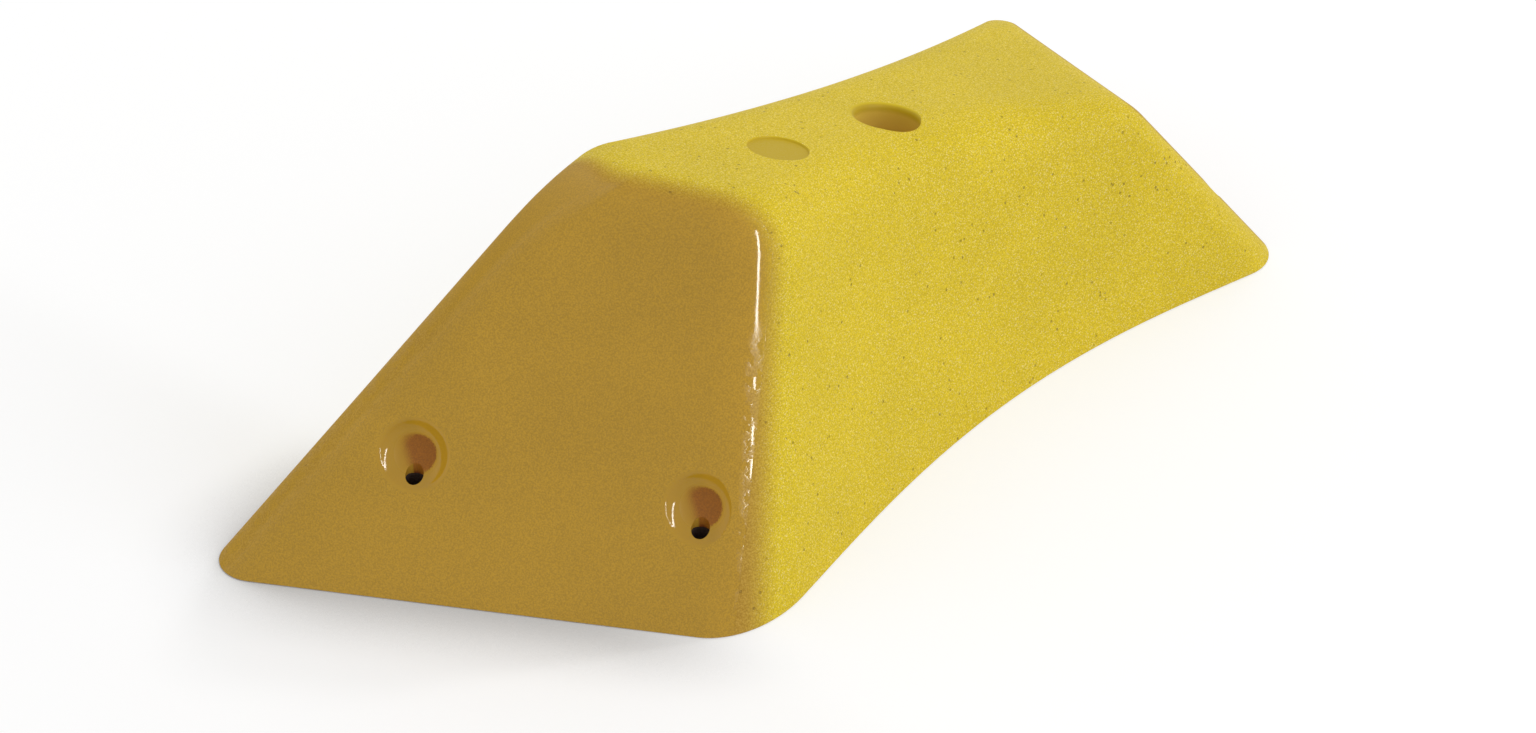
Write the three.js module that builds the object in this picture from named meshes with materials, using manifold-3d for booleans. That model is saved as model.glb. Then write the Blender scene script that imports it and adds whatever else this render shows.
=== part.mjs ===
// Climbing volume: a bent, wedge-shaped laminate shell with a plywood back frame bonded in.
// Millimetres. The wall plane is z = 0 and +Z points out of the wall. X runs along the volume
// from its near (high) end to its far (low) end, and -Y is the hollowed inner side.
import * as THREE from 'three';
import { mergeVertices } from 'three/addons/utils/BufferGeometryUtils.js';
import Module from 'manifold-3d';

const wasm = await Module();
wasm.setup();

// Back outline, as the places of its sharp corners before they are rounded
const HALF_WIDTH = 95;
const NEAR_OUTER_SIDE = 103.5;
const NEAR_OUTER_REACH = 251;
const NEAR_INNER_REACH = 146;
const FAR_INNER_REACH = 198.2;
const FAR_OUTER_REACH = 261;
const INNER_BOW = 24.4;
const INNER_BOW_SKEW = 4.8;
const INNER_BOW_POWER = 1.3;
const OUTER_BOW = 6;

// Top outline and the sloping top plane
const TOP_HEIGHT = 122.4;
const TOP_FALL_SHARE = 0.231;
const TOP_NEAR_OUTER_REACH = 127.5;
const TOP_NEAR_INNER_REACH = 83.8;
const TOP_FAR_INNER_REACH = 130.7;
const TOP_FAR_OUTER_REACH = 173.2;
const TOP_NEAR_OUTER_SIDE = 38;
const TOP_NEAR_INNER_SIDE = 55.9;
const TOP_FAR_INNER_SIDE = 64.7;
const TOP_FAR_OUTER_SIDE = 39.3;
const TOP_INNER_BOW = 22;
const TOP_OUTER_BOW = 12;

// Rounding: how much of each side its corners take at the back and at the top
const BACK_NEAR_OUTER_CUT = 28;
const BACK_NEAR_INNER_END_CUT = 22;
const BACK_NEAR_INNER_SIDE_CUT = 34;
const BACK_FAR_CUT = 19;
const TOP_NEAR_OUTER_CUT = 42;
const TOP_NEAR_INNER_CUT = 24;
const TOP_FAR_CUT = 12.3;
const FLAT_CUT_SHARE = 0.69;

// Rounding of the edge between each side and the top, measured from the sharp edge, and how
// much more the blunt corner between the near end and the outer side takes
const NEAR_EDGE_ROUND = 19;
const INNER_EDGE_ROUND = 24;
const FAR_EDGE_ROUND = 11;
const OUTER_EDGE_ROUND = 13.3;
const NEAR_OUTER_CORNER_SWELL = 36;

// Laminate shell
const WALL = 4;
const BOND_GAP = 0.3;
const CUT_OVERRUN = 5;

// Bolt well in the top, and the shallow round recess beside it
const BOLT_ALONG = 31.2;
const BOLT_SIDE = 13.8;
const BOLT_WELL_RADIUS = 12.8;
const BOLT_WELL_FLOOR_HEIGHT = 52;
const BOLT_BORE_RADIUS = 5.5;
const BADGE_ALONG = -33.2;
const BADGE_SIDE = 12.7;
const BADGE_RADIUS = 12.1;
const BADGE_DEPTH = 0.9;
const WASHER_THICKNESS = 2.5;
const WASHER_PLAY = 0.6;

// Screw pockets in the two end faces
const POCKET_BOWL_RADIUS = 6.9;
const POCKET_LIP_RADIUS = 10.4;
const POCKET_LIP_DROP = 2.2;
const SCREW_HOLE_RADIUS = 3.5;
const NEAR_OUTER_POCKET_HEIGHT = 49.3;
const NEAR_INNER_POCKET_HEIGHT = 42.7;
const FAR_POCKET_HEIGHT = 37;
const OUTER_POCKET_ACROSS_SHARE = 0.274;
const INNER_POCKET_ACROSS_SHARE = 0.875;

// Plywood back frame
const FRAME_THICKNESS = 15;
const END_RAIL_WIDTH = 54;
const INNER_RAIL_WAIST = 30.6;
const OUTER_RAIL_WAIST = 19.12;
const GLUE_LINE = 0.3;
const BRIDGE_HALF_WIDTH = 30;
const BRIDGE_THICKNESS = 15;
const BOLT_BLOCK_HALF_LENGTH = 28;
const BOLT_BLOCK_HALF_WIDTH = 21;
const SCREW_BLOCK_HALF_SIZE = 15;

// Countersunk frame screws
const FRAME_SCREW_HEAD_RADIUS = 4;
const FRAME_SCREW_SHANK_RADIUS = 1.9;
const FRAME_SCREW_HEAD_DEPTH = 2.6;
const FRAME_SCREW_TIP_DEPTH = 3;
const CORNER_SCREW_LENGTH = 13;
const BRIDGE_SCREW_LENGTH = 26;
const FRAME_SCREW_PLAY = 0.2;
const FRAME_SCREW_SINK = 0.4;
const BRIDGE_SCREW_SPREAD = 18;
const BRIDGE_SCREW_EDGE = 7;

// Glass tape that bonds the frame to the shell
const TAPE_THICKNESS = 1.4;
const TAPE_RISE = 22;
const TAPE_LANDING = 28;
const TAPE_CLEARANCE = 2;
const INNER_TAPE_SHARES = [[0.14, 0.4], [0.62, 0.86]];
const OUTER_TAPE_SHARES = [[0.13, 0.36], [0.53, 0.85]];

// Finish colours
const YELLOW = 0xd8c23a;
const PLYWOOD = 0xc9a26b;
const STEEL = 0x9a9c9e;
const GLASS_TAPE = 0xcfc9a8;

// Smoothness: steps along each side, round each corner, up the faces and round the wells
const SIDE_STEPS = [1, 18, 1, 18];
const CORNER_STEPS = 6;
const FACE_STEPS = 3;
const EDGE_STEPS = 6;
const WELL_SIDES = 32;
const POCKET_SIDES = 20;
const TAPE_STEPS = 6;
const SCREW_SIDES = 16;
const BOWL_STEPS = 4;
const LIP_STEPS = 3;

const UP = new THREE.Vector3(0, 0, 1);
const TOP_NORMAL = new THREE.Vector3(TOP_FALL_SHARE, 0, 1).normalize();

function topHeight(x) {
  return TOP_HEIGHT - TOP_FALL_SHARE * x;
}

// Outlines run anticlockwise seen from outside the wall, and side k starts at corner k:
// near end, inner side, far end, outer side
const BACK_OUTLINE = {
  corners: [
    new THREE.Vector2(-NEAR_OUTER_REACH, NEAR_OUTER_SIDE),
    new THREE.Vector2(-NEAR_INNER_REACH, -HALF_WIDTH),
    new THREE.Vector2(FAR_INNER_REACH, -HALF_WIDTH),
    new THREE.Vector2(FAR_OUTER_REACH, HALF_WIDTH),
  ],
  bows: [0, INNER_BOW, 0, OUTER_BOW],
  skews: [0, INNER_BOW_SKEW, 0, 0],
  powers: [1, INNER_BOW_POWER, 1, 1],
  cuts: [
    [BACK_NEAR_OUTER_CUT, BACK_NEAR_INNER_END_CUT],
    [BACK_NEAR_INNER_SIDE_CUT, BACK_FAR_CUT],
    [BACK_FAR_CUT, BACK_FAR_CUT],
    [BACK_FAR_CUT, BACK_NEAR_OUTER_CUT],
  ],
};
const TOP_OUTLINE = {
  corners: [
    new THREE.Vector2(-TOP_NEAR_OUTER_REACH, TOP_NEAR_OUTER_SIDE),
    new THREE.Vector2(-TOP_NEAR_INNER_REACH, -TOP_NEAR_INNER_SIDE),
    new THREE.Vector2(TOP_FAR_INNER_REACH, -TOP_FAR_INNER_SIDE),
    new THREE.Vector2(TOP_FAR_OUTER_REACH, TOP_FAR_OUTER_SIDE),
  ],
  bows: [0, TOP_INNER_BOW, 0, TOP_OUTER_BOW],
  skews: [0, 0, 0, 0],
  powers: [1, 1, 1, 1],
  cuts: [
    [TOP_NEAR_OUTER_CUT, TOP_NEAR_INNER_CUT],
    [TOP_NEAR_INNER_CUT, TOP_FAR_CUT],
    [TOP_FAR_CUT, TOP_FAR_CUT],
    [TOP_FAR_CUT, TOP_NEAR_OUTER_CUT],
  ],
};
const EDGE_ROUNDS = [NEAR_EDGE_ROUND, INNER_EDGE_ROUND, FAR_EDGE_ROUND, OUTER_EDGE_ROUND];
const CORNER_SWELLS = [0, 0, 0, NEAR_OUTER_CORNER_SWELL];

// A side between two corners, bowed inwards by a parabola, or by one drawn in to its middle
function sideCurve(outline, k) {
  const a = outline.corners[k];
  const b = outline.corners[(k + 1) % 4];
  const along = b.clone().sub(a);
  const inward = new THREE.Vector2(-along.y, along.x).normalize();
  const point = (t) => {
    const hump = Math.max(4 * t * (1 - t), 0) ** outline.powers[k];
    const bow = hump * (outline.bows[k] + outline.skews[k] * (2 * t - 1));
    return a.clone().addScaledVector(along, t).addScaledVector(inward, bow);
  };
  return { length: along.length(), point };
}

function lineCrossing(p, d, q, e) {
  const cross = d.x * e.y - d.y * e.x;
  const gap = q.clone().sub(p);
  return p.clone().addScaledVector(d, (gap.x * e.y - gap.y * e.x) / cross);
}

// The top outline drawn in on each side by the round of that side's edge
function flatOutline() {
  const lines = TOP_OUTLINE.corners.map((a, k) => {
    const d = TOP_OUTLINE.corners[(k + 1) % 4].clone().sub(a);
    const inward = new THREE.Vector2(-d.y, d.x).normalize();
    return { at: a.clone().addScaledVector(inward, EDGE_ROUNDS[k]), d };
  });
  return {
    corners: lines.map((line, k) => {
      const last = lines[(k + 3) % 4];
      return lineCrossing(last.at, last.d, line.at, line.d);
    }),
    bows: TOP_OUTLINE.bows,
    skews: TOP_OUTLINE.skews,
    powers: TOP_OUTLINE.powers,
    cuts: TOP_OUTLINE.cuts.map(([start, end]) => [start * FLAT_CUT_SHARE, end * FLAT_CUT_SHARE]),
  };
}

// A round corner between two sides, tangent to both
function cornerPoints(first, tFirst, second, tSecond) {
  const p = first.point(tFirst);
  const q = second.point(tSecond);
  const step = 1 / 1024;
  const d = p.clone().sub(first.point(tFirst - step)).normalize();
  const e = second.point(tSecond + step).sub(q).normalize();
  const sharp = lineCrossing(p, d, q, e);
  const turn = Math.acos(THREE.MathUtils.clamp(d.dot(e), -1, 1));
  const handle = (4 / 3) * Math.tan(turn / 4) / Math.tan(turn / 2);
  const curve = new THREE.CubicBezierCurve(p, p.clone().lerp(sharp, handle),
    q.clone().lerp(sharp, handle), q);
  return curve.getPoints(CORNER_STEPS);
}

// The whole outline as points, each with the round of the edge above it
function outlinePoints(outline) {
  const sides = outline.corners.map((corner, k) => sideCurve(outline, k));
  const points = [];
  sides.forEach((side, k) => {
    const next = sides[(k + 1) % 4];
    const start = outline.cuts[k][0] / side.length;
    const end = 1 - outline.cuts[k][1] / side.length;
    for (let i = 0; i < SIDE_STEPS[k]; i += 1) {
      const t = start + (end - start) * i / SIDE_STEPS[k];
      points.push({ at: side.point(t), round: EDGE_ROUNDS[k] });
    }
    const nextStart = outline.cuts[(k + 1) % 4][0] / next.length;
    const bend = cornerPoints(side, end, next, nextStart);
    for (let i = 0; i < CORNER_STEPS; i += 1) {
      const turned = i / CORNER_STEPS;
      const blend = THREE.MathUtils.smoothstep(turned, 0, 1);
      const round = THREE.MathUtils.lerp(EDGE_ROUNDS[k], EDGE_ROUNDS[(k + 1) % 4], blend);
      const swell = CORNER_SWELLS[k] * 4 * turned * (1 - turned);
      points.push({ at: bend[i], round: round + swell });
    }
  });
  return points;
}

// Rows of points up the outside: the faces, then the rounded edge on to the top plane
function outsideRows() {
  const back = outlinePoints(BACK_OUTLINE);
  const top = outlinePoints(TOP_OUTLINE);
  const flat = outlinePoints(flatOutline());
  const onTop = ({ at }) => new THREE.Vector3(at.x, at.y, topHeight(at.x));
  const rows = Array.from({ length: FACE_STEPS + EDGE_STEPS + 1 }, () => []);
  back.forEach(({ at }, i) => {
    const foot = new THREE.Vector3(at.x, at.y, 0);
    const sharp = onTop(top[i]);
    const low = sharp.clone().lerp(foot, top[i].round / sharp.distanceTo(foot));
    const edge = new THREE.QuadraticBezierCurve3(low, sharp, onTop(flat[i]));
    for (let r = 0; r < FACE_STEPS; r += 1) {
      rows[r].push(foot.clone().lerp(low, r / FACE_STEPS));
    }
    edge.getPoints(EDGE_STEPS).forEach((p, r) => rows[FACE_STEPS + r].push(p));
  });
  return rows;
}

// The outside moved in by a depth, and carried on below the wall plane
function insideRows(outside, depth, floor) {
  const last = outside.length - 1;
  const count = outside[0].length;
  const rows = outside.map((row, r) => row.map((p, i) => {
    const ahead = row[(i + 1) % count];
    const behind = row[(i + count - 1) % count];
    const above = outside[Math.min(r + 1, last)][i];
    const below = outside[Math.max(r - 1, 0)][i];
    const normal = ahead.clone().sub(behind).cross(above.clone().sub(below)).normalize();
    return p.clone().addScaledVector(r === last ? TOP_NORMAL : normal, -depth);
  }));
  rows[0] = rows[0].map((p, i) => {
    const slope = rows[1][i].clone().sub(p);
    return p.clone().addScaledVector(slope, (floor - p.z) / slope.z);
  });
  return rows;
}

// A closed solid from rows of points. Its flat caps are ribs across the outline, from the near
// end to the far end, so both long sides have as many steps
function rowsGeometry(rows) {
  const count = rows[0].length;
  const positions = rows.flat().flatMap((p) => [p.x, p.y, p.z]);
  const index = [];
  for (let r = 0; r < rows.length - 1; r += 1) {
    for (let i = 0; i < count; i += 1) {
      const a = r * count + i;
      const b = r * count + (i + 1) % count;
      index.push(a, b, b + count, a, b + count, a + count);
    }
  }
  const cap = (first, flip) => {
    for (let i = 0; i < count / 2 - 1; i += 1) {
      const [left, nextLeft] = [(count - i) % count, count - i - 1];
      [[left, i + 1, i + 2], [left, i + 2, nextLeft]].forEach(([a, b, c]) => {
        index.push(first + a, first + (flip ? c : b), first + (flip ? b : c));
      });
    }
  };
  cap(0, true);
  cap((rows.length - 1) * count, false);
  const geometry = new THREE.BufferGeometry();
  geometry.setAttribute('position', new THREE.Float32BufferAttribute(positions, 3));
  geometry.setIndex(index);
  return geometry;
}

// A three.js geometry as a solid: vertices merged, slivers at poles dropped, faces outwards
function solid(geometry) {
  const bare = geometry.clone();
  bare.deleteAttribute('normal');
  bare.deleteAttribute('uv');
  const merged = mergeVertices(bare);
  const position = merged.getAttribute('position');
  const corners = Array.from(merged.index.array);
  const triangles = [];
  let volume = 0;
  const [a, b, c] = [new THREE.Vector3(), new THREE.Vector3(), new THREE.Vector3()];
  for (let i = 0; i < corners.length; i += 3) {
    const [u, v, w] = corners.slice(i, i + 3);
    if (u !== v && v !== w && w !== u) {
      triangles.push([u, v, w]);
      a.fromBufferAttribute(position, u);
      b.fromBufferAttribute(position, v);
      c.fromBufferAttribute(position, w);
      volume += a.dot(b.cross(c));
    }
  }
  const facing = volume > 0 ? triangles : triangles.map(([u, v, w]) => [u, w, v]);
  return new wasm.Manifold(new wasm.Mesh({
    numProp: 3,
    vertProperties: Float32Array.from(position.array),
    triVerts: Uint32Array.from(facing.flat()),
  }));
}

function finished(name, body, color, roughness, metalness) {
  const result = body.getMesh();
  const geometry = new THREE.BufferGeometry();
  geometry.setAttribute('position', new THREE.BufferAttribute(result.vertProperties, 3));
  geometry.setIndex(new THREE.BufferAttribute(result.triVerts, 1));
  geometry.computeVertexNormals();
  const material = new THREE.MeshStandardMaterial({ color, roughness, metalness });
  const mesh = new THREE.Mesh(geometry, material);
  mesh.name = name;
  return mesh;
}

// A solid turned about an axis that points along a direction from a place
function turned(profile, sides, place, direction) {
  const geometry = new THREE.LatheGeometry(profile.map(([r, h]) => new THREE.Vector2(r, h)), sides);
  const turn = new THREE.Quaternion().setFromUnitVectors(new THREE.Vector3(0, 1, 0), direction);
  geometry.applyQuaternion(turn);
  geometry.translate(place.x, place.y, place.z);
  return solid(geometry);
}

function upright(radius, low, high, x, y, sides) {
  const profile = [[0, low], [radius, low], [radius, high], [0, high]];
  return turned(profile, sides, new THREE.Vector3(x, y, 0), UP);
}

function prism(corners, low, high) {
  const geometry = new THREE.ExtrudeGeometry(new THREE.Shape(corners),
    { depth: high - low, bevelEnabled: false });
  geometry.translate(0, 0, low);
  return solid(geometry);
}

function rectangle(x0, x1, y0, y1) {
  return [[x0, y0], [x1, y0], [x1, y1], [x0, y1]].map(([x, y]) => new THREE.Vector2(x, y));
}

// Screw pockets: a bowl square to the end face, with a soft lip, over an upright screw hole
function endFacePocket(outerCorner, innerCorner, acrossShare, height) {
  const onFace = (outline, lift) => {
    const flat = outline.corners[outerCorner].clone()
      .lerp(outline.corners[innerCorner], acrossShare);
    return new THREE.Vector3(flat.x, flat.y, lift ? topHeight(flat.x) : 0);
  };
  const foot = onFace(BACK_OUTLINE, false);
  const head = onFace(TOP_OUTLINE, true);
  const centre = foot.clone().lerp(head, height / head.z);
  const across = BACK_OUTLINE.corners[innerCorner].clone()
    .sub(BACK_OUTLINE.corners[outerCorner]);
  const outward = head.clone().sub(foot)
    .cross(new THREE.Vector3(across.x, across.y, 0)).normalize();
  if (outward.z < 0) outward.negate();
  return { centre, outward };
}
const POCKETS = [
  endFacePocket(0, 1, OUTER_POCKET_ACROSS_SHARE, NEAR_OUTER_POCKET_HEIGHT),
  endFacePocket(0, 1, INNER_POCKET_ACROSS_SHARE, NEAR_INNER_POCKET_HEIGHT),
  endFacePocket(3, 2, OUTER_POCKET_ACROSS_SHARE, FAR_POCKET_HEIGHT),
  endFacePocket(3, 2, INNER_POCKET_ACROSS_SHARE, FAR_POCKET_HEIGHT),
];

function bowlProfile(radius) {
  const points = [];
  for (let i = 0; i <= BOWL_STEPS; i += 1) {
    const angle = (Math.PI / 2) * i / BOWL_STEPS;
    points.push([radius * Math.sin(angle), -radius * Math.cos(angle)]);
  }
  points[0][0] = 0;
  return points;
}

function pocketSpace(pocket) {
  const bowl = bowlProfile(POCKET_BOWL_RADIUS)
    .filter(([, h]) => h < -POCKET_LIP_DROP);
  const start = bowl[bowl.length - 1];
  const lip = new THREE.QuadraticBezierCurve(new THREE.Vector2(...start),
    new THREE.Vector2(POCKET_BOWL_RADIUS, 0), new THREE.Vector2(POCKET_LIP_RADIUS, 0));
  const rim = lip.getPoints(LIP_STEPS).slice(1).map((p) => [p.x, p.y]);
  const mouth = [[POCKET_LIP_RADIUS, CUT_OVERRUN], [0, CUT_OVERRUN]];
  return turned([...bowl, ...rim, ...mouth], POCKET_SIDES, pocket.centre, pocket.outward);
}

function pocketWall(pocket, extra) {
  const profile = [...bowlProfile(POCKET_BOWL_RADIUS + WALL + extra), [0, 0]];
  return turned(profile, POCKET_SIDES, pocket.centre, pocket.outward);
}

function screwHole(pocket) {
  return upright(SCREW_HOLE_RADIUS, -CUT_OVERRUN, pocket.centre.z,
    pocket.centre.x, pocket.centre.y, SCREW_SIDES);
}

const OUTSIDE = outsideRows();
const outsideBody = solid(rowsGeometry(OUTSIDE));
const hollow = solid(rowsGeometry(insideRows(OUTSIDE, WALL, -CUT_OVERRUN)));
const fitSpace = solid(rowsGeometry(insideRows(OUTSIDE, WALL + BOND_GAP, -CUT_OVERRUN)));
const tapeSpace = solid(rowsGeometry(
  insideRows(OUTSIDE, WALL + BOND_GAP + TAPE_THICKNESS, -CUT_OVERRUN)));

// The window edges of the side rails: from the inner side's narrowest place, and from where the
// outer side's wall leans in over the bridge's deck
function deckAcross() {
  const deck = FRAME_THICKNESS + GLUE_LINE + BRIDGE_THICKNESS;
  const slab = prism(rectangle(BOLT_ALONG - BRIDGE_HALF_WIDTH, BOLT_ALONG + BRIDGE_HALF_WIDTH,
    -NEAR_OUTER_SIDE, NEAR_OUTER_SIDE), deck, deck + GLUE_LINE);
  return fitSpace.intersect(slab).boundingBox().max[1];
}
const INNER_RAIL_EDGE = HALF_WIDTH - INNER_BOW - INNER_RAIL_WAIST;
const OUTER_RAIL_EDGE = deckAcross() - OUTER_RAIL_WAIST;

function boltBore() {
  return upright(BOLT_BORE_RADIUS, -CUT_OVERRUN, TOP_HEIGHT, BOLT_ALONG, -BOLT_SIDE, WELL_SIDES);
}

function shell() {
  const wellFoot = BOLT_WELL_FLOOR_HEIGHT - WALL;
  const wellTop = topHeight(BOLT_ALONG - BOLT_WELL_RADIUS - WALL);
  const wellWall = upright(BOLT_WELL_RADIUS + WALL, wellFoot, wellTop + CUT_OVERRUN,
    BOLT_ALONG, -BOLT_SIDE, WELL_SIDES).intersect(outsideBody);
  const wellSpace = upright(BOLT_WELL_RADIUS, BOLT_WELL_FLOOR_HEIGHT, wellTop + CUT_OVERRUN,
    BOLT_ALONG, -BOLT_SIDE, WELL_SIDES);
  const badgePlace = new THREE.Vector3(BADGE_ALONG, -BADGE_SIDE, topHeight(BADGE_ALONG));
  const badge = turned([[0, -BADGE_DEPTH], [BADGE_RADIUS, -BADGE_DEPTH],
    [BADGE_RADIUS, CUT_OVERRUN], [0, CUT_OVERRUN]], WELL_SIDES, badgePlace, TOP_NORMAL);
  let body = outsideBody.subtract(hollow).add(wellWall);
  POCKETS.forEach((pocket) => {
    body = body.add(pocketWall(pocket, 0).intersect(outsideBody));
  });
  body = body.subtract(wellSpace).subtract(boltBore()).subtract(badge);
  POCKETS.forEach((pocket) => {
    body = body.subtract(pocketSpace(pocket)).subtract(screwHole(pocket));
  });
  return body;
}

// Lines of the frame's window, as corners in the outline's order
function windowCorners(spread) {
  const ends = [[0, 1], [3, 2]].map(([outer, inner]) => {
    const a = BACK_OUTLINE.corners[outer];
    const d = BACK_OUTLINE.corners[inner].clone().sub(a);
    const shift = new THREE.Vector2(-d.y, d.x).normalize();
    if (shift.x * a.x > 0) shift.negate();
    return { at: a.clone().addScaledVector(shift, END_RAIL_WIDTH - spread), d };
  });
  const along = new THREE.Vector2(1, 0);
  const inner = new THREE.Vector2(0, -INNER_RAIL_EDGE - spread);
  const outer = new THREE.Vector2(0, OUTER_RAIL_EDGE + spread);
  return [
    lineCrossing(ends[0].at, ends[0].d, outer, along),
    lineCrossing(ends[0].at, ends[0].d, inner, along),
    lineCrossing(ends[1].at, ends[1].d, inner, along),
    lineCrossing(ends[1].at, ends[1].d, outer, along),
  ];
}

// The part of the plan outside one window line, past both of its ends
function beyondLine(k, spread, low, high) {
  const corners = windowCorners(spread);
  const a = corners[k];
  const b = corners[(k + 1) % 4];
  const d = b.clone().sub(a).normalize();
  const out = new THREE.Vector2(d.y, -d.x);
  const far = NEAR_OUTER_REACH + FAR_OUTER_REACH;
  const start = a.clone().addScaledVector(d, -far);
  const end = b.clone().addScaledVector(d, far);
  return prism([start, start.clone().addScaledVector(out, far),
    end.clone().addScaledVector(out, far), end], low, high);
}

function prismLayer(low, high) {
  const x = NEAR_OUTER_REACH + FAR_OUTER_REACH;
  return fitSpace.intersect(prism(rectangle(-x, x, -NEAR_OUTER_SIDE, NEAR_OUTER_SIDE), low, high));
}

// End rails run through at the top of the half laps, and side rails at the bottom
function rail(k) {
  const endRail = k % 2 === 0;
  const middle = FRAME_THICKNESS / 2;
  const low = prismLayer(0, endRail ? middle + GLUE_LINE / 2 : middle - GLUE_LINE / 2);
  const high = prismLayer(endRail ? middle + GLUE_LINE / 2 : middle - GLUE_LINE / 2,
    FRAME_THICKNESS);
  const through = endRail ? high : low;
  const stopped = endRail ? low : high;
  const long = through.intersect(beyondLine(k, 0, -CUT_OVERRUN, FRAME_THICKNESS + CUT_OVERRUN));
  let short = stopped.intersect(beyondLine(k, 0, -CUT_OVERRUN, FRAME_THICKNESS + CUT_OVERRUN));
  [(k + 1) % 4, (k + 3) % 4].forEach((neighbour) => {
    short = short.subtract(beyondLine(neighbour, -GLUE_LINE, -CUT_OVERRUN,
      FRAME_THICKNESS + CUT_OVERRUN));
  });
  return long.add(short);
}

// Countersunk screws, given by the place of the head's middle and a length
function screwProfile(length, play) {
  const head = FRAME_SCREW_HEAD_RADIUS + play;
  const shank = FRAME_SCREW_SHANK_RADIUS + play;
  return [[0, -length - play], [shank, -length + FRAME_SCREW_TIP_DEPTH - play],
    [shank, -FRAME_SCREW_HEAD_DEPTH - play], [head, -play], [head, 0]];
}

function screwBody(place, length) {
  const profile = [...screwProfile(length, 0), [0, 0]];
  return turned(profile, SCREW_SIDES, place, UP);
}

function screwSeat(place, length) {
  const head = FRAME_SCREW_HEAD_RADIUS + FRAME_SCREW_PLAY;
  const profile = [...screwProfile(length, FRAME_SCREW_PLAY), [head, CUT_OVERRUN],
    [0, CUT_OVERRUN]];
  return turned(profile, SCREW_SIDES, place, UP);
}

function frameScrews() {
  const lap = windowCorners(0);
  const names = ['near_outer', 'near_inner', 'far_inner', 'far_outer'];
  const screws = names.map((name, k) => {
    const out = BACK_OUTLINE.corners[k].clone().sub(lap[k]).normalize();
    const at = lap[k].clone().addScaledVector(out, SCREW_BLOCK_HALF_SIZE);
    return {
      name: `lap_screw_${name}`,
      place: new THREE.Vector3(at.x, at.y, FRAME_THICKNESS - FRAME_SCREW_SINK),
      length: CORNER_SCREW_LENGTH,
    };
  });
  const deck = FRAME_THICKNESS + GLUE_LINE + BRIDGE_THICKNESS - FRAME_SCREW_SINK;
  [['inner', -INNER_RAIL_EDGE - BRIDGE_SCREW_EDGE], ['outer', OUTER_RAIL_EDGE + BRIDGE_SCREW_EDGE]]
    .forEach(([side, y]) => {
      [['near', -BRIDGE_SCREW_SPREAD], ['far', BRIDGE_SCREW_SPREAD]].forEach(([end, shift]) => {
        screws.push({
          name: `bridge_screw_${side}_${end}`,
          place: new THREE.Vector3(BOLT_ALONG + shift, y, deck),
          length: BRIDGE_SCREW_LENGTH,
        });
      });
    });
  return screws;
}
const SCREWS = frameScrews();

function drilled(body) {
  let result = body;
  SCREWS.forEach(({ place, length }) => {
    result = result.subtract(screwSeat(place, length));
  });
  POCKETS.forEach((pocket) => {
    result = result.subtract(screwHole(pocket));
  });
  return result.subtract(boltBore());
}

function bridge() {
  const low = FRAME_THICKNESS + GLUE_LINE;
  const board = prism(rectangle(BOLT_ALONG - BRIDGE_HALF_WIDTH, BOLT_ALONG + BRIDGE_HALF_WIDTH,
    -NEAR_OUTER_SIDE, NEAR_OUTER_SIDE), low, low + BRIDGE_THICKNESS);
  return board.intersect(fitSpace);
}

function boltBlock() {
  const low = FRAME_THICKNESS + BRIDGE_THICKNESS + 2 * GLUE_LINE;
  const high = BOLT_WELL_FLOOR_HEIGHT - WALL - GLUE_LINE;
  return prism(rectangle(BOLT_ALONG - BOLT_BLOCK_HALF_LENGTH, BOLT_ALONG + BOLT_BLOCK_HALF_LENGTH,
    -BOLT_SIDE - BOLT_BLOCK_HALF_WIDTH, -BOLT_SIDE + BOLT_BLOCK_HALF_WIDTH), low, high);
}

function boltWasher() {
  const low = BOLT_WELL_FLOOR_HEIGHT + GLUE_LINE;
  const high = low + WASHER_THICKNESS;
  const outer = BOLT_WELL_RADIUS - WASHER_PLAY;
  return upright(outer, low, high, BOLT_ALONG, -BOLT_SIDE, WELL_SIDES).subtract(boltBore());
}

// A packer on the end rail under a screw pocket, shaped to the shell and the bowl above it
function screwBlock(pocket) {
  const { centre } = pocket;
  const low = FRAME_THICKNESS + GLUE_LINE;
  const box = prism(rectangle(centre.x - SCREW_BLOCK_HALF_SIZE, centre.x + SCREW_BLOCK_HALF_SIZE,
    centre.y - SCREW_BLOCK_HALF_SIZE, centre.y + SCREW_BLOCK_HALF_SIZE), low, centre.z);
  return box.intersect(fitSpace).subtract(pocketWall(pocket, GLUE_LINE));
}

// The shares of an end side that lie clear between its two screw packers
function endTapeShares(k, pockets) {
  const a = BACK_OUTLINE.corners[k];
  const along = BACK_OUTLINE.corners[(k + 1) % 4].clone().sub(a);
  const length = along.length();
  const blockReach = SCREW_BLOCK_HALF_SIZE * (Math.abs(along.x) + Math.abs(along.y)) / length;
  const places = pockets.map(({ centre }) => {
    const place = new THREE.Vector2(centre.x, centre.y).sub(a);
    return place.dot(along) / length ** 2;
  });
  const margin = (blockReach + TAPE_CLEARANCE) / length;
  return [Math.min(...places) + margin, Math.max(...places) - margin];
}

// What the tapes stay clear of: the screw packers and the bolt bridge
function tapeRoom() {
  const high = TOP_HEIGHT;
  const bridgeReach = BRIDGE_HALF_WIDTH + TAPE_CLEARANCE;
  let room = prism(rectangle(BOLT_ALONG - bridgeReach, BOLT_ALONG + bridgeReach,
    -NEAR_OUTER_SIDE, NEAR_OUTER_SIDE), 0, high);
  const reach = SCREW_BLOCK_HALF_SIZE + TAPE_CLEARANCE;
  POCKETS.forEach(({ centre }) => {
    room = room.add(prism(rectangle(centre.x - reach, centre.x + reach,
      centre.y - reach, centre.y + reach), 0, high));
  });
  return room;
}
const TAPE_ROOM = tapeRoom();

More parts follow.
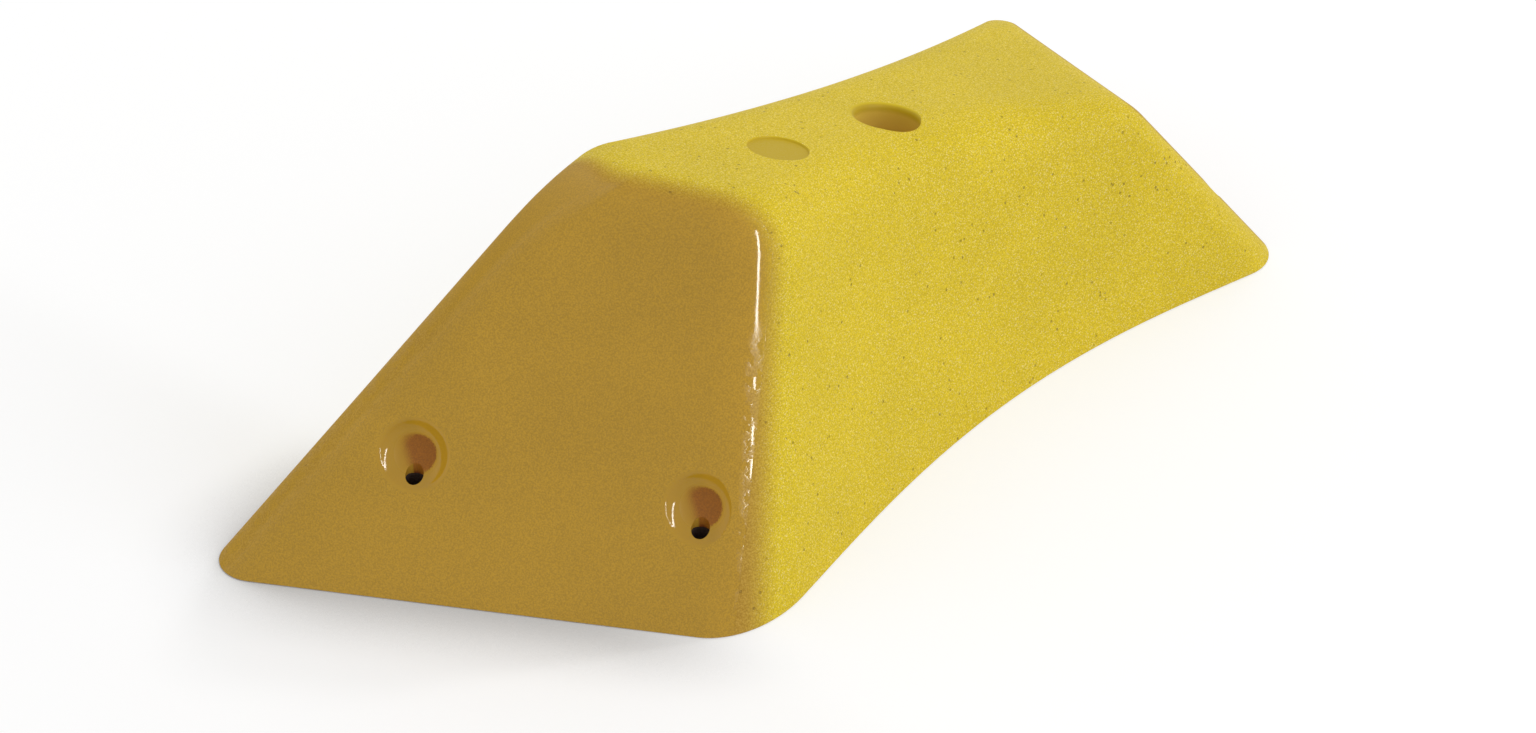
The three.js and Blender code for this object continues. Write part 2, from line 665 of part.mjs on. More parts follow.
// Glass tape: a landing on the rail and a rise up the shell, between two shares of a side
function tape(k, [from, to]) {
  const side = sideCurve(BACK_OUTLINE, k);
  const strip = (inset, low, high) => {
    const outerEdge = [];
    const innerEdge = [];
    const chord = BACK_OUTLINE.corners[(k + 1) % 4].clone().sub(BACK_OUTLINE.corners[k]);
    const inward = new THREE.Vector2(-chord.y, chord.x).normalize();
    for (let i = 0; i <= TAPE_STEPS; i += 1) {
      const p = side.point(from + (to - from) * i / TAPE_STEPS);
      outerEdge.push(p);
      innerEdge.unshift(p.clone().addScaledVector(inward, inset));
    }
    return prism([...outerEdge, ...innerEdge], low, high);
  };
  const low = FRAME_THICKNESS + GLUE_LINE;
  const landing = fitSpace.intersect(strip(TAPE_LANDING, low, low + TAPE_THICKNESS));
  const rise = fitSpace.subtract(tapeSpace)
    .intersect(strip(TAPE_LANDING, low, low + TAPE_RISE));
  return landing.add(rise).subtract(TAPE_ROOM);
}

const volume = new THREE.Group();
volume.add(finished('shell', shell(), YELLOW, 0.45, 0));
['near_end_rail', 'inner_side_rail', 'far_end_rail', 'outer_side_rail'].forEach((name, k) => {
  volume.add(finished(name, drilled(rail(k)), PLYWOOD, 0.8, 0));
});
volume.add(finished('bolt_bridge', drilled(bridge()), PLYWOOD, 0.8, 0));
volume.add(finished('bolt_block', drilled(boltBlock()), PLYWOOD, 0.8, 0));
volume.add(finished('bolt_washer', boltWasher(), STEEL, 0.35, 1));
['near_outer', 'near_inner', 'far_outer', 'far_inner'].forEach((name, i) => {
  volume.add(finished(`screw_block_${name}`, drilled(screwBlock(POCKETS[i])), PLYWOOD, 0.8, 0));
});
SCREWS.forEach(({ name, place, length }) => {
  volume.add(finished(name, screwBody(place, length), STEEL, 0.4, 1));
});
[
  ['tape_near_end', 0, endTapeShares(0, POCKETS.slice(0, 2))],
  ['tape_far_end', 2, endTapeShares(2, POCKETS.slice(2))],
  ['tape_inner_near', 1, INNER_TAPE_SHARES[0]],
  ['tape_inner_far', 1, INNER_TAPE_SHARES[1]],
  ['tape_outer_far', 3, OUTER_TAPE_SHARES[0]],
  ['tape_outer_near', 3, OUTER_TAPE_SHARES[1]],
].forEach(([name, k, shares]) => {
  volume.add(finished(name, tape(k, shares), GLASS_TAPE, 0.6, 0));
});

// The origin is under the middle of the back's rounded outline
const footBox = new THREE.Box3().setFromPoints(OUTSIDE[0]);
const middle = footBox.getCenter(new THREE.Vector3());
volume.position.set(-middle.x, -middle.y, 0);

export default volume;
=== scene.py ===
"""A bent climbing volume: a moulded glass-fibre shell in yellow gelcoat on a plywood back frame.

Outlines and places are in millimetres as the mould's drawing gives them, and become metres
where a mesh is made. +Z points out of the wall and +X runs from the high end to the low end.
"""

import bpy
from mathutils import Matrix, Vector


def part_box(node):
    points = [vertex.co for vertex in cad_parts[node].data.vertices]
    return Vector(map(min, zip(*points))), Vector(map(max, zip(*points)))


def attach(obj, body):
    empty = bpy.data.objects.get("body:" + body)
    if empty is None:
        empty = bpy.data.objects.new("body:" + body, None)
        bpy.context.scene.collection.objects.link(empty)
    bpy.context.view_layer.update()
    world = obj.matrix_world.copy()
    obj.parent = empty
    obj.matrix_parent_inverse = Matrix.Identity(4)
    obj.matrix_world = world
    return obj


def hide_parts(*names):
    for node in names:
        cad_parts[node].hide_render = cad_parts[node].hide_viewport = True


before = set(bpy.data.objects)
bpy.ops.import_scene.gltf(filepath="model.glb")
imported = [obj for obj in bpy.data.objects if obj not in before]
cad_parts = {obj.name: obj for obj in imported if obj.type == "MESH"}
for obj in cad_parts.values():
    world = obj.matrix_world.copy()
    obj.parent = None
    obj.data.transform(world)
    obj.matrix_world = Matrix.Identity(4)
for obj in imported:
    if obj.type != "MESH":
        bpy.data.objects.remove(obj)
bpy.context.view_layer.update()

import math

import bmesh
import bpy
import numpy as np
from bpy.props import FloatProperty, FloatVectorProperty, IntProperty, PointerProperty
from mathutils import Matrix, Vector

bl_info = {
    "name": "Climbing volume",
    "version": (1, 0, 0),
    "blender": (4, 5, 0),
    "location": "View3D > Sidebar > Volume",
    "description": "Makes a moulded climbing volume with its back frame, and its studio",
    "category": "Add Mesh",
}

MM = 0.001

# Sharp corners of the back outline and of the top outline, before they are rounded. Side k
# starts at corner k: near end, inner side, far end, outer side
BACK = {
    "corners": [(-251, 103.5), (-146, -95), (198.2, -95), (261, 95)],
    "bows": [0, 24.4, 0, 6], "skews": [0, 4.8, 0, 0], "powers": [1, 1.3, 1, 1],
    "cuts": [(28, 22), (34, 19), (19, 19), (19, 28)],
}
TOP = {
    "corners": [(-127.5, 38), (-83.8, -55.9), (130.7, -64.7), (173.2, 39.3)],
    "bows": [0, 22, 0, 12], "skews": [0, 0, 0, 0], "powers": [1, 1, 1, 1],
    "cuts": [(42, 24), (24, 12.3), (12.3, 12.3), (12.3, 42)],
}
TOP_HEIGHT = 122.4
TOP_FALL_SHARE = 0.231
EDGE_ROUNDS = [19, 24, 11, 13.3]
CORNER_SWELLS = [0, 0, 0, 36]
FLAT_CUT_SHARE = 0.69
BOLT = (31.2, -13.8)
BOLT_FLOOR = 52
BADGE = (-33.2, -12.7)

# Fineness of the shell's surface
SIDE_STEPS = [28, 90, 28, 90]
CORNER_STEPS = 16
FACE_STEPS = 20
EDGE_STEPS = 14
WELL_SIDES = 96
POCKET_SIDES = 64

# The shell's material slots
OUTSIDE, LAMINATE, SAWN_RIM, WELL, POCKET = range(5)

# How deep in the wall the solid lies that the bosses are cut to, and the screw pockets'
# places: height up the end face, share of the way across it from the outer side, and width
LIMIT_DEPTH = 2.0
NEAR_POCKETS = [(49.3, 0.274, 1), (42.7, 0.875, 1)]
FAR_POCKETS = [(37, 0.274, 0.78), (37, 0.875, 0.78)]

# An end's corners, outer then inner, and how wide its polish is against the near end's
NEAR_END = (0, 1, 1.0)
FAR_END = (3, 2, 0.1)

SCREW_NODES = [
    "lap_screw_near_outer", "lap_screw_near_inner", "lap_screw_far_inner",
    "lap_screw_far_outer", "bridge_screw_inner_near", "bridge_screw_inner_far",
    "bridge_screw_outer_near", "bridge_screw_outer_far",
]
PLYWOOD_NODES = [
    "near_end_rail", "inner_side_rail", "far_end_rail", "outer_side_rail", "bolt_bridge",
    "bolt_block", "screw_block_near_outer", "screw_block_near_inner",
    "screw_block_far_outer", "screw_block_far_inner",
]
TAPE_NODES = [
    "tape_near_end", "tape_far_end", "tape_inner_near", "tape_inner_far",
    "tape_outer_far", "tape_outer_near",
]


# Colours and nodes

def linear(colour):
    """An sRGB hex value as a linear colour."""
    def channel(value):
        return value / 12.92 if value <= 0.04045 else ((value + 0.055) / 1.055) ** 2.4
    parts = [int(colour[i:i + 2], 16) / 255 for i in (1, 3, 5)]
    return tuple(channel(part) for part in parts) + (1.0,)


def node(tree, kind, inputs=None, **settings):
    """Adds a node. An input takes a value, or another node's output."""
    made = tree.nodes.new(kind)
    for name, value in settings.items():
        setattr(made, name, value)
    for key, value in (inputs or {}).items():
        if isinstance(value, bpy.types.NodeSocket):
            tree.links.new(value, made.inputs[key])
        else:
            made.inputs[key].default_value = value
    return made


def new_material(name):
    """An empty material with its output and a Principled shader."""
    material = bpy.data.materials.new(name)
    material.use_nodes = True
    tree = material.node_tree
    tree.nodes.clear()
    shader = node(tree, "ShaderNodeBsdfPrincipled")
    node(tree, "ShaderNodeOutputMaterial", {"Surface": shader.outputs[0]})
    return material, tree, shader


def ramp(tree, factor, stops):
    """A colour ramp from (place, colour) stops."""
    made = node(tree, "ShaderNodeValToRGB", {0: factor})
    elements = made.color_ramp.elements
    while len(elements) < len(stops):
        elements.new(1.0)
    for element, (place, colour) in zip(elements, stops):
        element.position = place
        element.color = colour
    return made.outputs[0]


def mixed(tree, factor, a, b, blend="MIX"):
    """Two colours mixed by a factor."""
    made = node(tree, "ShaderNodeMix", {0: factor, 6: a, 7: b}, data_type="RGBA",
                blend_type=blend)
    return made.outputs[2]


def maths(tree, operation, *values):
    """A sum on numbers or outputs."""
    return node(tree, "ShaderNodeMath", dict(enumerate(values)), operation=operation).outputs[0]


def blended(tree, factor, a, b):
    """Two numbers or outputs mixed by a factor."""
    return node(tree, "ShaderNodeMix", {0: factor, 2: a, 3: b}, data_type="FLOAT").outputs[0]


def shaped(tree, value, low, high, to_low=0.0, to_high=1.0, smooth=True):
    """A value mapped from one range to another, and held there."""
    made = node(tree, "ShaderNodeMapRange", {0: value, 1: low, 2: high, 3: to_low, 4: to_high},
                interpolation_type="SMOOTHSTEP" if smooth else "LINEAR")
    return made.outputs[0]


def surfaced(tree, shader, colour, rough, height, strength=1.0, distance=MM):
    """Gives a shader its colour, roughness and bump. The bump's height is in distances."""
    bump = node(tree, "ShaderNodeBump",
                {"Strength": strength, "Distance": distance, "Height": height})
    for name, value in (("Base Color", colour), ("Roughness", rough),
                        ("Normal", bump.outputs[0])):
        tree.links.new(value, shader.inputs[name])


# The shell's form

def crossing(p, d, q, e):
    """Where the line through p along d meets the line through q along e."""
    cross = d[0] * e[1] - d[1] * e[0]
    gap = q - p
    return p + d * ((gap[0] * e[1] - gap[1] * e[0]) / cross)


def normalised(v):
    """Vectors made one long."""
    return v / np.linalg.norm(v, axis=-1, keepdims=True)


def top_height(x):
    """The sloping top plane's height at a place along the volume."""
    return TOP_HEIGHT - TOP_FALL_SHARE * x


def bend(a, b, c, t):
    """A point at t on the soft bend from a to c that is tangent to both, by way of b."""
    return (1 - t) ** 2 * a + 2 * t * (1 - t) * b + t * t * c


class Side:
    """A side of an outline, bowed inwards between its two corners."""

    def __init__(self, outline, k):
        a, b = (np.array(outline["corners"][(k + i) % 4], float) for i in (0, 1))
        self.start, self.along = a, b - a
        self.length = np.linalg.norm(self.along)
        self.inward = normalised(np.array([-self.along[1], self.along[0]]))
        self.bow, self.skew = outline["bows"][k], outline["skews"][k]
        self.power = outline["powers"][k]

    def point(self, t):
        hump = max(4 * t * (1 - t), 0) ** self.power
        inset = hump * (self.bow + self.skew * (2 * t - 1))
        return self.start + self.along * t + self.inward * inset


def corner_points(first, end, second, start):
    """A round corner between two sides, tangent to both."""
    p, q = first.point(end), second.point(start)
    step = 1 / 1024
    d = normalised(p - first.point(end - step))
    e = normalised(second.point(start + step) - q)
    sharp = crossing(p, d, q, e)
    turn = math.acos(max(-1, min(1, float(d @ e))))
    handle = (4 / 3) * math.tan(turn / 4) / math.tan(turn / 2)
    b, c = p + (sharp - p) * handle, q + (sharp - q) * handle
    t = np.arange(CORNER_STEPS)[:, None] / CORNER_STEPS
    return ((1 - t) ** 3 * p + 3 * (1 - t) ** 2 * t * b
            + 3 * (1 - t) * t * t * c + t ** 3 * q)


def outline_points(outline):
    """The whole outline as points, and the round of the edge above each."""
    sides = [Side(outline, k) for k in range(4)]
    points, rounds = [], []
    for k, side in enumerate(sides):
        after = (k + 1) % 4
        start = outline["cuts"][k][0] / side.length
        end = 1 - outline["cuts"][k][1] / side.length
        for i in range(SIDE_STEPS[k]):
            points.append(side.point(start + (end - start) * i / SIDE_STEPS[k]))
            rounds.append(EDGE_ROUNDS[k])
        next_start = outline["cuts"][after][0] / sides[after].length
        bend = corner_points(side, end, sides[after], next_start)
        for i, point in enumerate(bend):
            turned = i / CORNER_STEPS
            blend = turned * turned * (3 - 2 * turned)
            edge = EDGE_ROUNDS[k] + (EDGE_ROUNDS[after] - EDGE_ROUNDS[k]) * blend
            points.append(point)
            rounds.append(edge + CORNER_SWELLS[k] * 4 * turned * (1 - turned))
    return np.array(points), np.array(rounds)


def flat_outline():
    """The top outline drawn in on each side by the round of that side's edge."""
    lines = []
    for k in range(4):
        a, b = (np.array(TOP["corners"][(k + i) % 4], float) for i in (0, 1))
        inward = normalised(np.array([-(b - a)[1], (b - a)[0]]))
        lines.append((a + inward * EDGE_ROUNDS[k], b - a))
    corners = [crossing(*lines[(k + 3) % 4], *lines[k]) for k in range(4)]
    cuts = [(a * FLAT_CUT_SHARE, b * FLAT_CUT_SHARE) for a, b in TOP["cuts"]]
    return {**TOP, "corners": corners, "cuts": cuts}


def outside_rows():
    """Rows of points up the outside, from the foot over the rounded edge to the flat top."""
    back, _ = outline_points(BACK)
    top, rounds = outline_points(TOP)
    flat, _ = outline_points(flat_outline())
    foot = np.c_[back, np.zeros(len(back))]
    sharp = np.c_[top, top_height(top[:, 0])]
    level = np.c_[flat, top_height(flat[:, 0])]
    share = rounds / np.linalg.norm(sharp - foot, axis=1)
    low = sharp + (foot - sharp) * share[:, None]
    rows = [foot + (low - foot) * (r / FACE_STEPS) for r in range(FACE_STEPS)]
    for r in range(EDGE_STEPS + 1):
        rows.append(bend(low, sharp, level, r / EDGE_STEPS))
    middle = frame_middle()
    return np.array(rows) - np.array([*middle, 0]), middle


def frame_middle():
    """The frame's origin in the mould's drawing, from where the bolt's washer stands in it."""
    low, high = (np.array(corner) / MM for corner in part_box("bolt_washer"))
    return np.array(BOLT) - (low + high)[:2] / 2


def fitted(rows):
    """The rows drawn in by the hair that finer steps stand proud of the CAD solid's box."""
    low, high = (np.array(corner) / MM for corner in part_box("shell"))
    for axis in range(3):
        grown = max(rows[..., axis].max() / high[axis], 1)
        if low[axis] < 0:
            grown = max(rows[..., axis].min() / low[axis], grown)
        rows[..., axis] /= grown
    return rows


def inside_rows(rows, depth):
    """The rows moved in by a depth, down to the wall plane."""
    normal_top = normalised(np.array([TOP_FALL_SHARE, 0, 1]))
    ahead, behind = np.roll(rows, -1, axis=1), np.roll(rows, 1, axis=1)
    above = np.concatenate([rows[1:], rows[-1:]])
    below = np.concatenate([rows[:1], rows[:-1]])
    normals = normalised(np.cross(ahead - behind, above - below))
    normals[-1] = normal_top
    inner = rows - normals * depth
    slope = inner[1] - inner[0]
    inner[0] += slope * ((0 - inner[0][:, 2]) / slope[:, 2])[:, None]
    return inner


def ring_verts(mesh, rings):
    """A bmesh's new verts for rings of points."""
    return [[mesh.verts.new(Vector(p) * MM) for p in ring] for ring in rings]


def band(mesh, low, high, slot=0):
    """Faces between two rings of verts, in a material slot."""
    for i in range(len(low)):
        j = (i + 1) % len(low)
        mesh.faces.new((low[i], low[j], high[j], high[i])).material_index = slot


def ring_solid(mesh, rings, slot, foot=None):
    """Adds a closed solid of stacked rings, from low to high, to a bmesh. Its low end closes
    flat, or on a foot point."""
    rows = ring_verts(mesh, rings)
    for low, high in zip(rows, rows[1:]):
        band(mesh, low, high, slot)
    if foot is None:
        mesh.faces.new(rows[0][::-1]).material_index = slot
    else:
        middle = mesh.verts.new(Vector(foot) * MM)
        for i, a in enumerate(rows[0]):
            b = rows[0][(i + 1) % len(rows[0])]
            mesh.faces.new((middle, b, a)).material_index = slot
    mesh.faces.new(rows[-1]).material_index = slot


def cap_ribs(verts, start):
    """Faces across a closed loop of verts, as ribs from the middle of one end to the other."""
    count = len(verts)
    for j in range(count // 2):
        loop = [start - j, start + j, start + j + 1, start - j - 1]
        unique = list(dict.fromkeys(i % count for i in loop))
        yield [verts[i] for i in unique]


def mesh_object(name, mesh, slots=()):
    """A bmesh as an object at the origin, with its materials."""
    data = bpy.data.meshes.new(name)
    mesh.to_mesh(data)
    mesh.free()
    for material in slots:
        data.materials.append(material)
    made = bpy.data.objects.new(name, data)
    bpy.context.scene.collection.objects.link(made)
    return made


def baked(made, name):
    """A copy of an object with its modifiers applied, under a new name."""
    graph = bpy.context.evaluated_depsgraph_get()
    data = bpy.data.meshes.new_from_object(made.evaluated_get(graph), depsgraph=graph)
    data.name = name
    result = bpy.data.objects.new(name, data)
    bpy.context.scene.collection.objects.link(result)
    return result


def discard(*objects):
    """Removes objects and the meshes that nothing else uses."""
    for made in objects:
        data = made.data
        bpy.data.objects.remove(made)
        if data.users == 0:
            bpy.data.meshes.remove(data)


def carried(made, slot, *nodes):
    """The piece rides on the part's one body and stands for its CAD nodes."""
    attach(made, "root")
    if nodes:
        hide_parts(*nodes)


def circle(radius, count):
    """Points round a circle in the plane."""
    turns = np.arange(count) * 2 * math.pi / count
    return np.c_[radius * np.cos(turns), radius * np.sin(turns)]


def quarter(start, sharp, end, steps):
    """The points of a soft bend from start to end by way of the sharp corner."""
    return [tuple(bend(a, s, b, i / steps) for a, s, b in zip(start, sharp, end))
            for i in range(steps + 1)]


def dish(radius, rise, end, steps):
    """A ball's section from its lowest point up to an angle, with its centre at a height."""
    turns = [i / steps * end for i in range(steps + 1)]
    return [(radius * math.sin(t), rise - radius * math.cos(t)) for t in turns]


def sloped_rings(x, y, profile, sides, middle):
    """Rings round an upright axis. A height is (value, on_top): on_top heights are measured
    from the sloping top plane at that point."""
    rings = []
    for radius, height, on_top in profile:
        flat = circle(max(radius, 0.01), sides) + np.array([x, y])
        base = top_height(flat[:, 0] + middle[0]) if on_top else np.zeros(len(flat))
        rings.append(np.c_[flat, base + height])
    return rings


def lathe_rings(centre, axis, profile, sides):
    """Rings round an axis through a point, from (radius, height along the axis)."""
    axis = normalised(np.array(axis, float))
    across = normalised(np.cross(axis, [0.3, 0.2, -0.9]))
    other = np.cross(axis, across)
    rings = []
    for radius, height in profile:
        flat = circle(max(radius, 0.01), sides)
        rings.append(np.array(centre) + flat[:, :1] * across + flat[:, 1:] * other
                     + axis * height)
    return rings


def end_plane(outer, inner):
    """A point on an end face and the face's outward normal."""
    foot = [np.array((*BACK["corners"][k], 0.0)) for k in (outer, inner)]
    flat = np.array(TOP["corners"][outer], float)
    head = np.array([flat[0], flat[1], top_height(flat[0])])
    normal = normalised(np.cross(head - foot[0], foot[1] - foot[0]))
    return foot[0], normal if normal[2] > 0 else -normal


def pocket_places(middle):
    """The screw pockets' centres, the normals of the end faces that they lie in, and how
    wide each is. Those in the small far end are narrower."""
    places = []
    for (outer, inner, _), height, share, wide in (
            *((NEAR_END, *pocket) for pocket in NEAR_POCKETS),
            *((FAR_END, *pocket) for pocket in FAR_POCKETS)):
        flat = [np.array(line["corners"][k], float) for line in (BACK, TOP)
                for k in (outer, inner)]
        foot = flat[0] + (flat[1] - flat[0]) * share
        head = flat[2] + (flat[3] - flat[2]) * share
        foot, head = np.array([*foot, 0]), np.array([*head, top_height(head[0])])
        centre = foot + (head - foot) * (height / head[2])
        along = flat[1] - flat[0]
        outward = normalised(np.cross(head - foot, [along[0], along[1], 0]))
        if outward[2] < 0:
            outward = -outward
        places.append((centre - np.array([middle[0], middle[1], 0]), outward, wide))
    return places


# Settings

class VolumeShape(bpy.types.PropertyGroup):
    """Sizes of the shell's moulded details and of the fixings."""
    wall: FloatProperty(
        name="Wall", description="Thickness of the laminate", default=4 * MM,
        min=2 * MM, max=6 * MM, unit="LENGTH")
    foot_ease: FloatProperty(
        name="Foot easing", description="Rounding of the shell's cut outer foot",
        default=0.5 * MM, min=0.1 * MM, max=1.5 * MM, unit="LENGTH")
    well_radius: FloatProperty(
        name="Bolt well radius", description="Radius of the bolt well", default=12.8 * MM,
        min=12.5 * MM, max=16 * MM, unit="LENGTH")
    well_lip: FloatProperty(
        name="Bolt well lip", description="Soft rounding of the bolt well's mouth",
        default=3 * MM, min=0.3 * MM, max=4 * MM, unit="LENGTH")
    badge_radius: FloatProperty(
        name="Round recess radius", description="Radius of the shallow bare recess",
        default=12.1 * MM, min=5 * MM, max=15 * MM, unit="LENGTH")
    badge_depth: FloatProperty(
        name="Round recess depth", description="Depth of the shallow bare recess",
        default=0.9 * MM, min=0.2 * MM, max=2 * MM, unit="LENGTH")
    pocket_curve: FloatProperty(
        name="Pocket curve", description="Radius of the ball that the screw pockets follow",
        default=18 * MM, min=12 * MM, max=22 * MM, unit="LENGTH")
    pocket_depth: FloatProperty(
        name="Pocket depth", description="Depth of the screw pockets",
        default=6.3 * MM, min=5 * MM, max=8 * MM, unit="LENGTH")
    pocket_rim: FloatProperty(
        name="Pocket rim radius", description="Where the pocket's dish meets its soft lip",
        default=12.6 * MM, min=8 * MM, max=13 * MM, unit="LENGTH")
    pocket_lip: FloatProperty(
        name="Pocket lip radius", description="Where the pocket's soft lip meets the face",
        default=15 * MM, min=13.6 * MM, max=17 * MM, unit="LENGTH")
    hole_radius: FloatProperty(
        name="Screw hole radius", description="Radius of the wall screws' holes",
        default=3.5 * MM, min=2.5 * MM, max=5 * MM, unit="LENGTH")
    bore_radius: FloatProperty(
        name="Bolt bore radius", description="Radius of the bolt's bore", default=5.5 * MM,
        min=5 * MM, max=7 * MM, unit="LENGTH")
    screw_head: FloatProperty(
        name="Screw head radius", description="Head radius of the frame's wood screws",
        default=4 * MM, min=3 * MM, max=5 * MM, unit="LENGTH")
    screw_shank: FloatProperty(
        name="Screw shank radius", description="Shank radius of the frame's wood screws",
        default=1.9 * MM, min=1 * MM, max=2.5 * MM, unit="LENGTH")


class VolumeFinish(bpy.types.PropertyGroup):
    """Colours and grain of the finishes."""
    gritty_yellow: FloatVectorProperty(
        name="Gritty gelcoat", description="Colour of the sanded-feel gelcoat",
        subtype="COLOR", size=4, min=0, max=1, default=linear("#d8bd0a"))
    # Partly painted shade: the end faces are painted this darker, more orange yellow.
    polished_yellow: FloatVectorProperty(
        name="Polished gelcoat", description="Colour of the polished gelcoat",
        subtype="COLOR", size=4, min=0, max=1, default=linear("#b38a20"))
    plywood: FloatVectorProperty(
        name="Birch plywood", description="Colour of the plywood's face veneer",
        subtype="COLOR", size=4, min=0, max=1, default=linear("#d9b98a"))
    laminate: FloatVectorProperty(
        name="Glass laminate", description="Colour of the bare laminate inside",
        subtype="COLOR", size=4, min=0, max=1, default=linear("#c9b772"))
    grit: FloatProperty(
        name="Grit", description="Width of the gelcoat's sandy grains", default=0.65 * MM,
        min=0.3 * MM, max=2 * MM, unit="LENGTH")
    gelcoat_shine: FloatProperty(
        name="Gelcoat shine", description="Specular level of the gelcoats", default=0.32,
        min=0, max=1)


class VolumeStudio(bpy.types.PropertyGroup):
    """Lamps and camera."""
    key_power: FloatProperty(
        name="Key lamp", description="Power of the high lamp behind", default=36,
        min=0, max=1000, unit="POWER")
    front_power: FloatProperty(
        name="Front lamp", description="Power of the large soft lamp in front", default=16,
        min=0, max=200, unit="POWER")
    strip_power: FloatProperty(
        name="Strip lamp", description="Power of the narrow lamp that only gloss shows",
        default=40, min=0, max=200, unit="POWER")
    sky: FloatProperty(
        name="Sky light", description="Strength of the even light from all round",
        default=0.82, min=0, max=2)
    lens: FloatProperty(
        name="Lens", description="Focal length of the camera, in millimetres",
        default=98.768, min=20, max=200)
    floor_size: IntProperty(
        name="Floor", description="Width of the floor, in metres", default=14, min=2, max=40)


# Materials

def object_place(tree):
    """Where a point is in its object, in metres."""
    return node(tree, "ShaderNodeTexCoord").outputs["Object"]


def fine_noise(tree, place, width, detail=2.0, rough=0.5, offset=(0, 0, 0)):
    """Noise whose lumps are about a width across, in metres."""
    moved = node(tree, "ShaderNodeMapping", {0: place, 1: offset}).outputs[0]
    return node(tree, "ShaderNodeTexNoise",
                {"Vector": moved, "Scale": 1 / width, "Detail": detail, "Roughness": rough},
                noise_dimensions="3D").outputs[0]


def end_measures(tree, place, middle, outer, inner, scale):
    """For an end face: how far a point stands out from its plane in metres, how polished it
    is, how far its yellow is deepened, partly as painted shade, and how far the gloss is
    rubbed off at the outer corner. The polish fades out just past the top edge, runs round
    the inner corner to a crisp line, where it is worn in patches low down, and takes in the
    whole outer corner."""
    point, normal = end_plane(outer, inner)
    across = normalised(np.array(BACK["corners"][inner], float) - point[:2])
    start = point - np.array([*middle, 0])
    head = np.array(TOP["corners"][outer], float)
    lean = float(across @ (head - point[:2])) / top_height(head[0])
    width = float(np.linalg.norm(np.array(BACK["corners"][inner], float) - point[:2]))
    height = node(tree, "ShaderNodeSeparateXYZ", {0: place}).outputs[2]
    measured = []
    for direction in (normal, np.array([*across, 0.0])):
        along = node(tree, "ShaderNodeVectorMath", {0: place, 1: tuple(direction)},
                     operation="DOT_PRODUCT").outputs["Value"]
        measured.append(maths(tree, "SUBTRACT", along, float(direction @ start) * MM))
    out, over = measured
    from_outer = maths(tree, "SUBTRACT", over, maths(tree, "MULTIPLY", height, lean))
    near_outer = shaped(tree, from_outer, 52 * scale * MM, 24 * scale * MM, smooth=False)
    outer_run = maths(tree, "MULTIPLY", maths(tree, "MULTIPLY", near_outer, near_outer),
                      36 * scale * MM)
    near_inner = shaped(tree, over, (width - 26 * scale) * MM, (width - 10 * scale) * MM)
    inner_run = maths(tree, "MULTIPLY", near_inner,
                      maths(tree, "MULTIPLY_ADD", height, 0.047 * scale, -0.7 * scale * MM))
    run = maths(tree, "ADD", outer_run, maths(tree, "ADD", inner_run, 4.2 * scale * MM))
    past = maths(tree, "ADD", out, run)
    soft = maths(tree, "MULTIPLY_ADD", near_inner, -2.45 * scale * MM, 2.6 * scale * MM)
    polished = shaped(tree, maths(tree, "DIVIDE", past, soft), -1.0, 1.0)
    patch = fine_noise(tree, place, 0.005, detail=2.0, offset=(0.4, 0.9, 0.6))
    worn = maths(tree, "MULTIPLY", shaped(tree, patch, 0.44, 0.56),
                 maths(tree, "MULTIPLY", shaped(tree, out, -2 * MM, -5 * MM),
                       shaped(tree, height, 106 * MM, 84 * MM, 0, 0.7)))
    polished = maths(tree, "MULTIPLY", polished, maths(tree, "SUBTRACT", 1.0, worn))
    # Partly painted shade: the deeper, more orange yellow blends in softly over the rounded
    # edges, where the end face turns from the light.
    deepened_and_shaded = shaped(tree, maths(tree, "ADD", out, outer_run), -16.5 * scale * MM,
                      -4 * scale * MM)
    rubbed = maths(tree, "MULTIPLY", near_outer, shaped(tree, out, -1 * MM, -7 * MM))
    return out, polished, deepened_and_shaded, rubbed


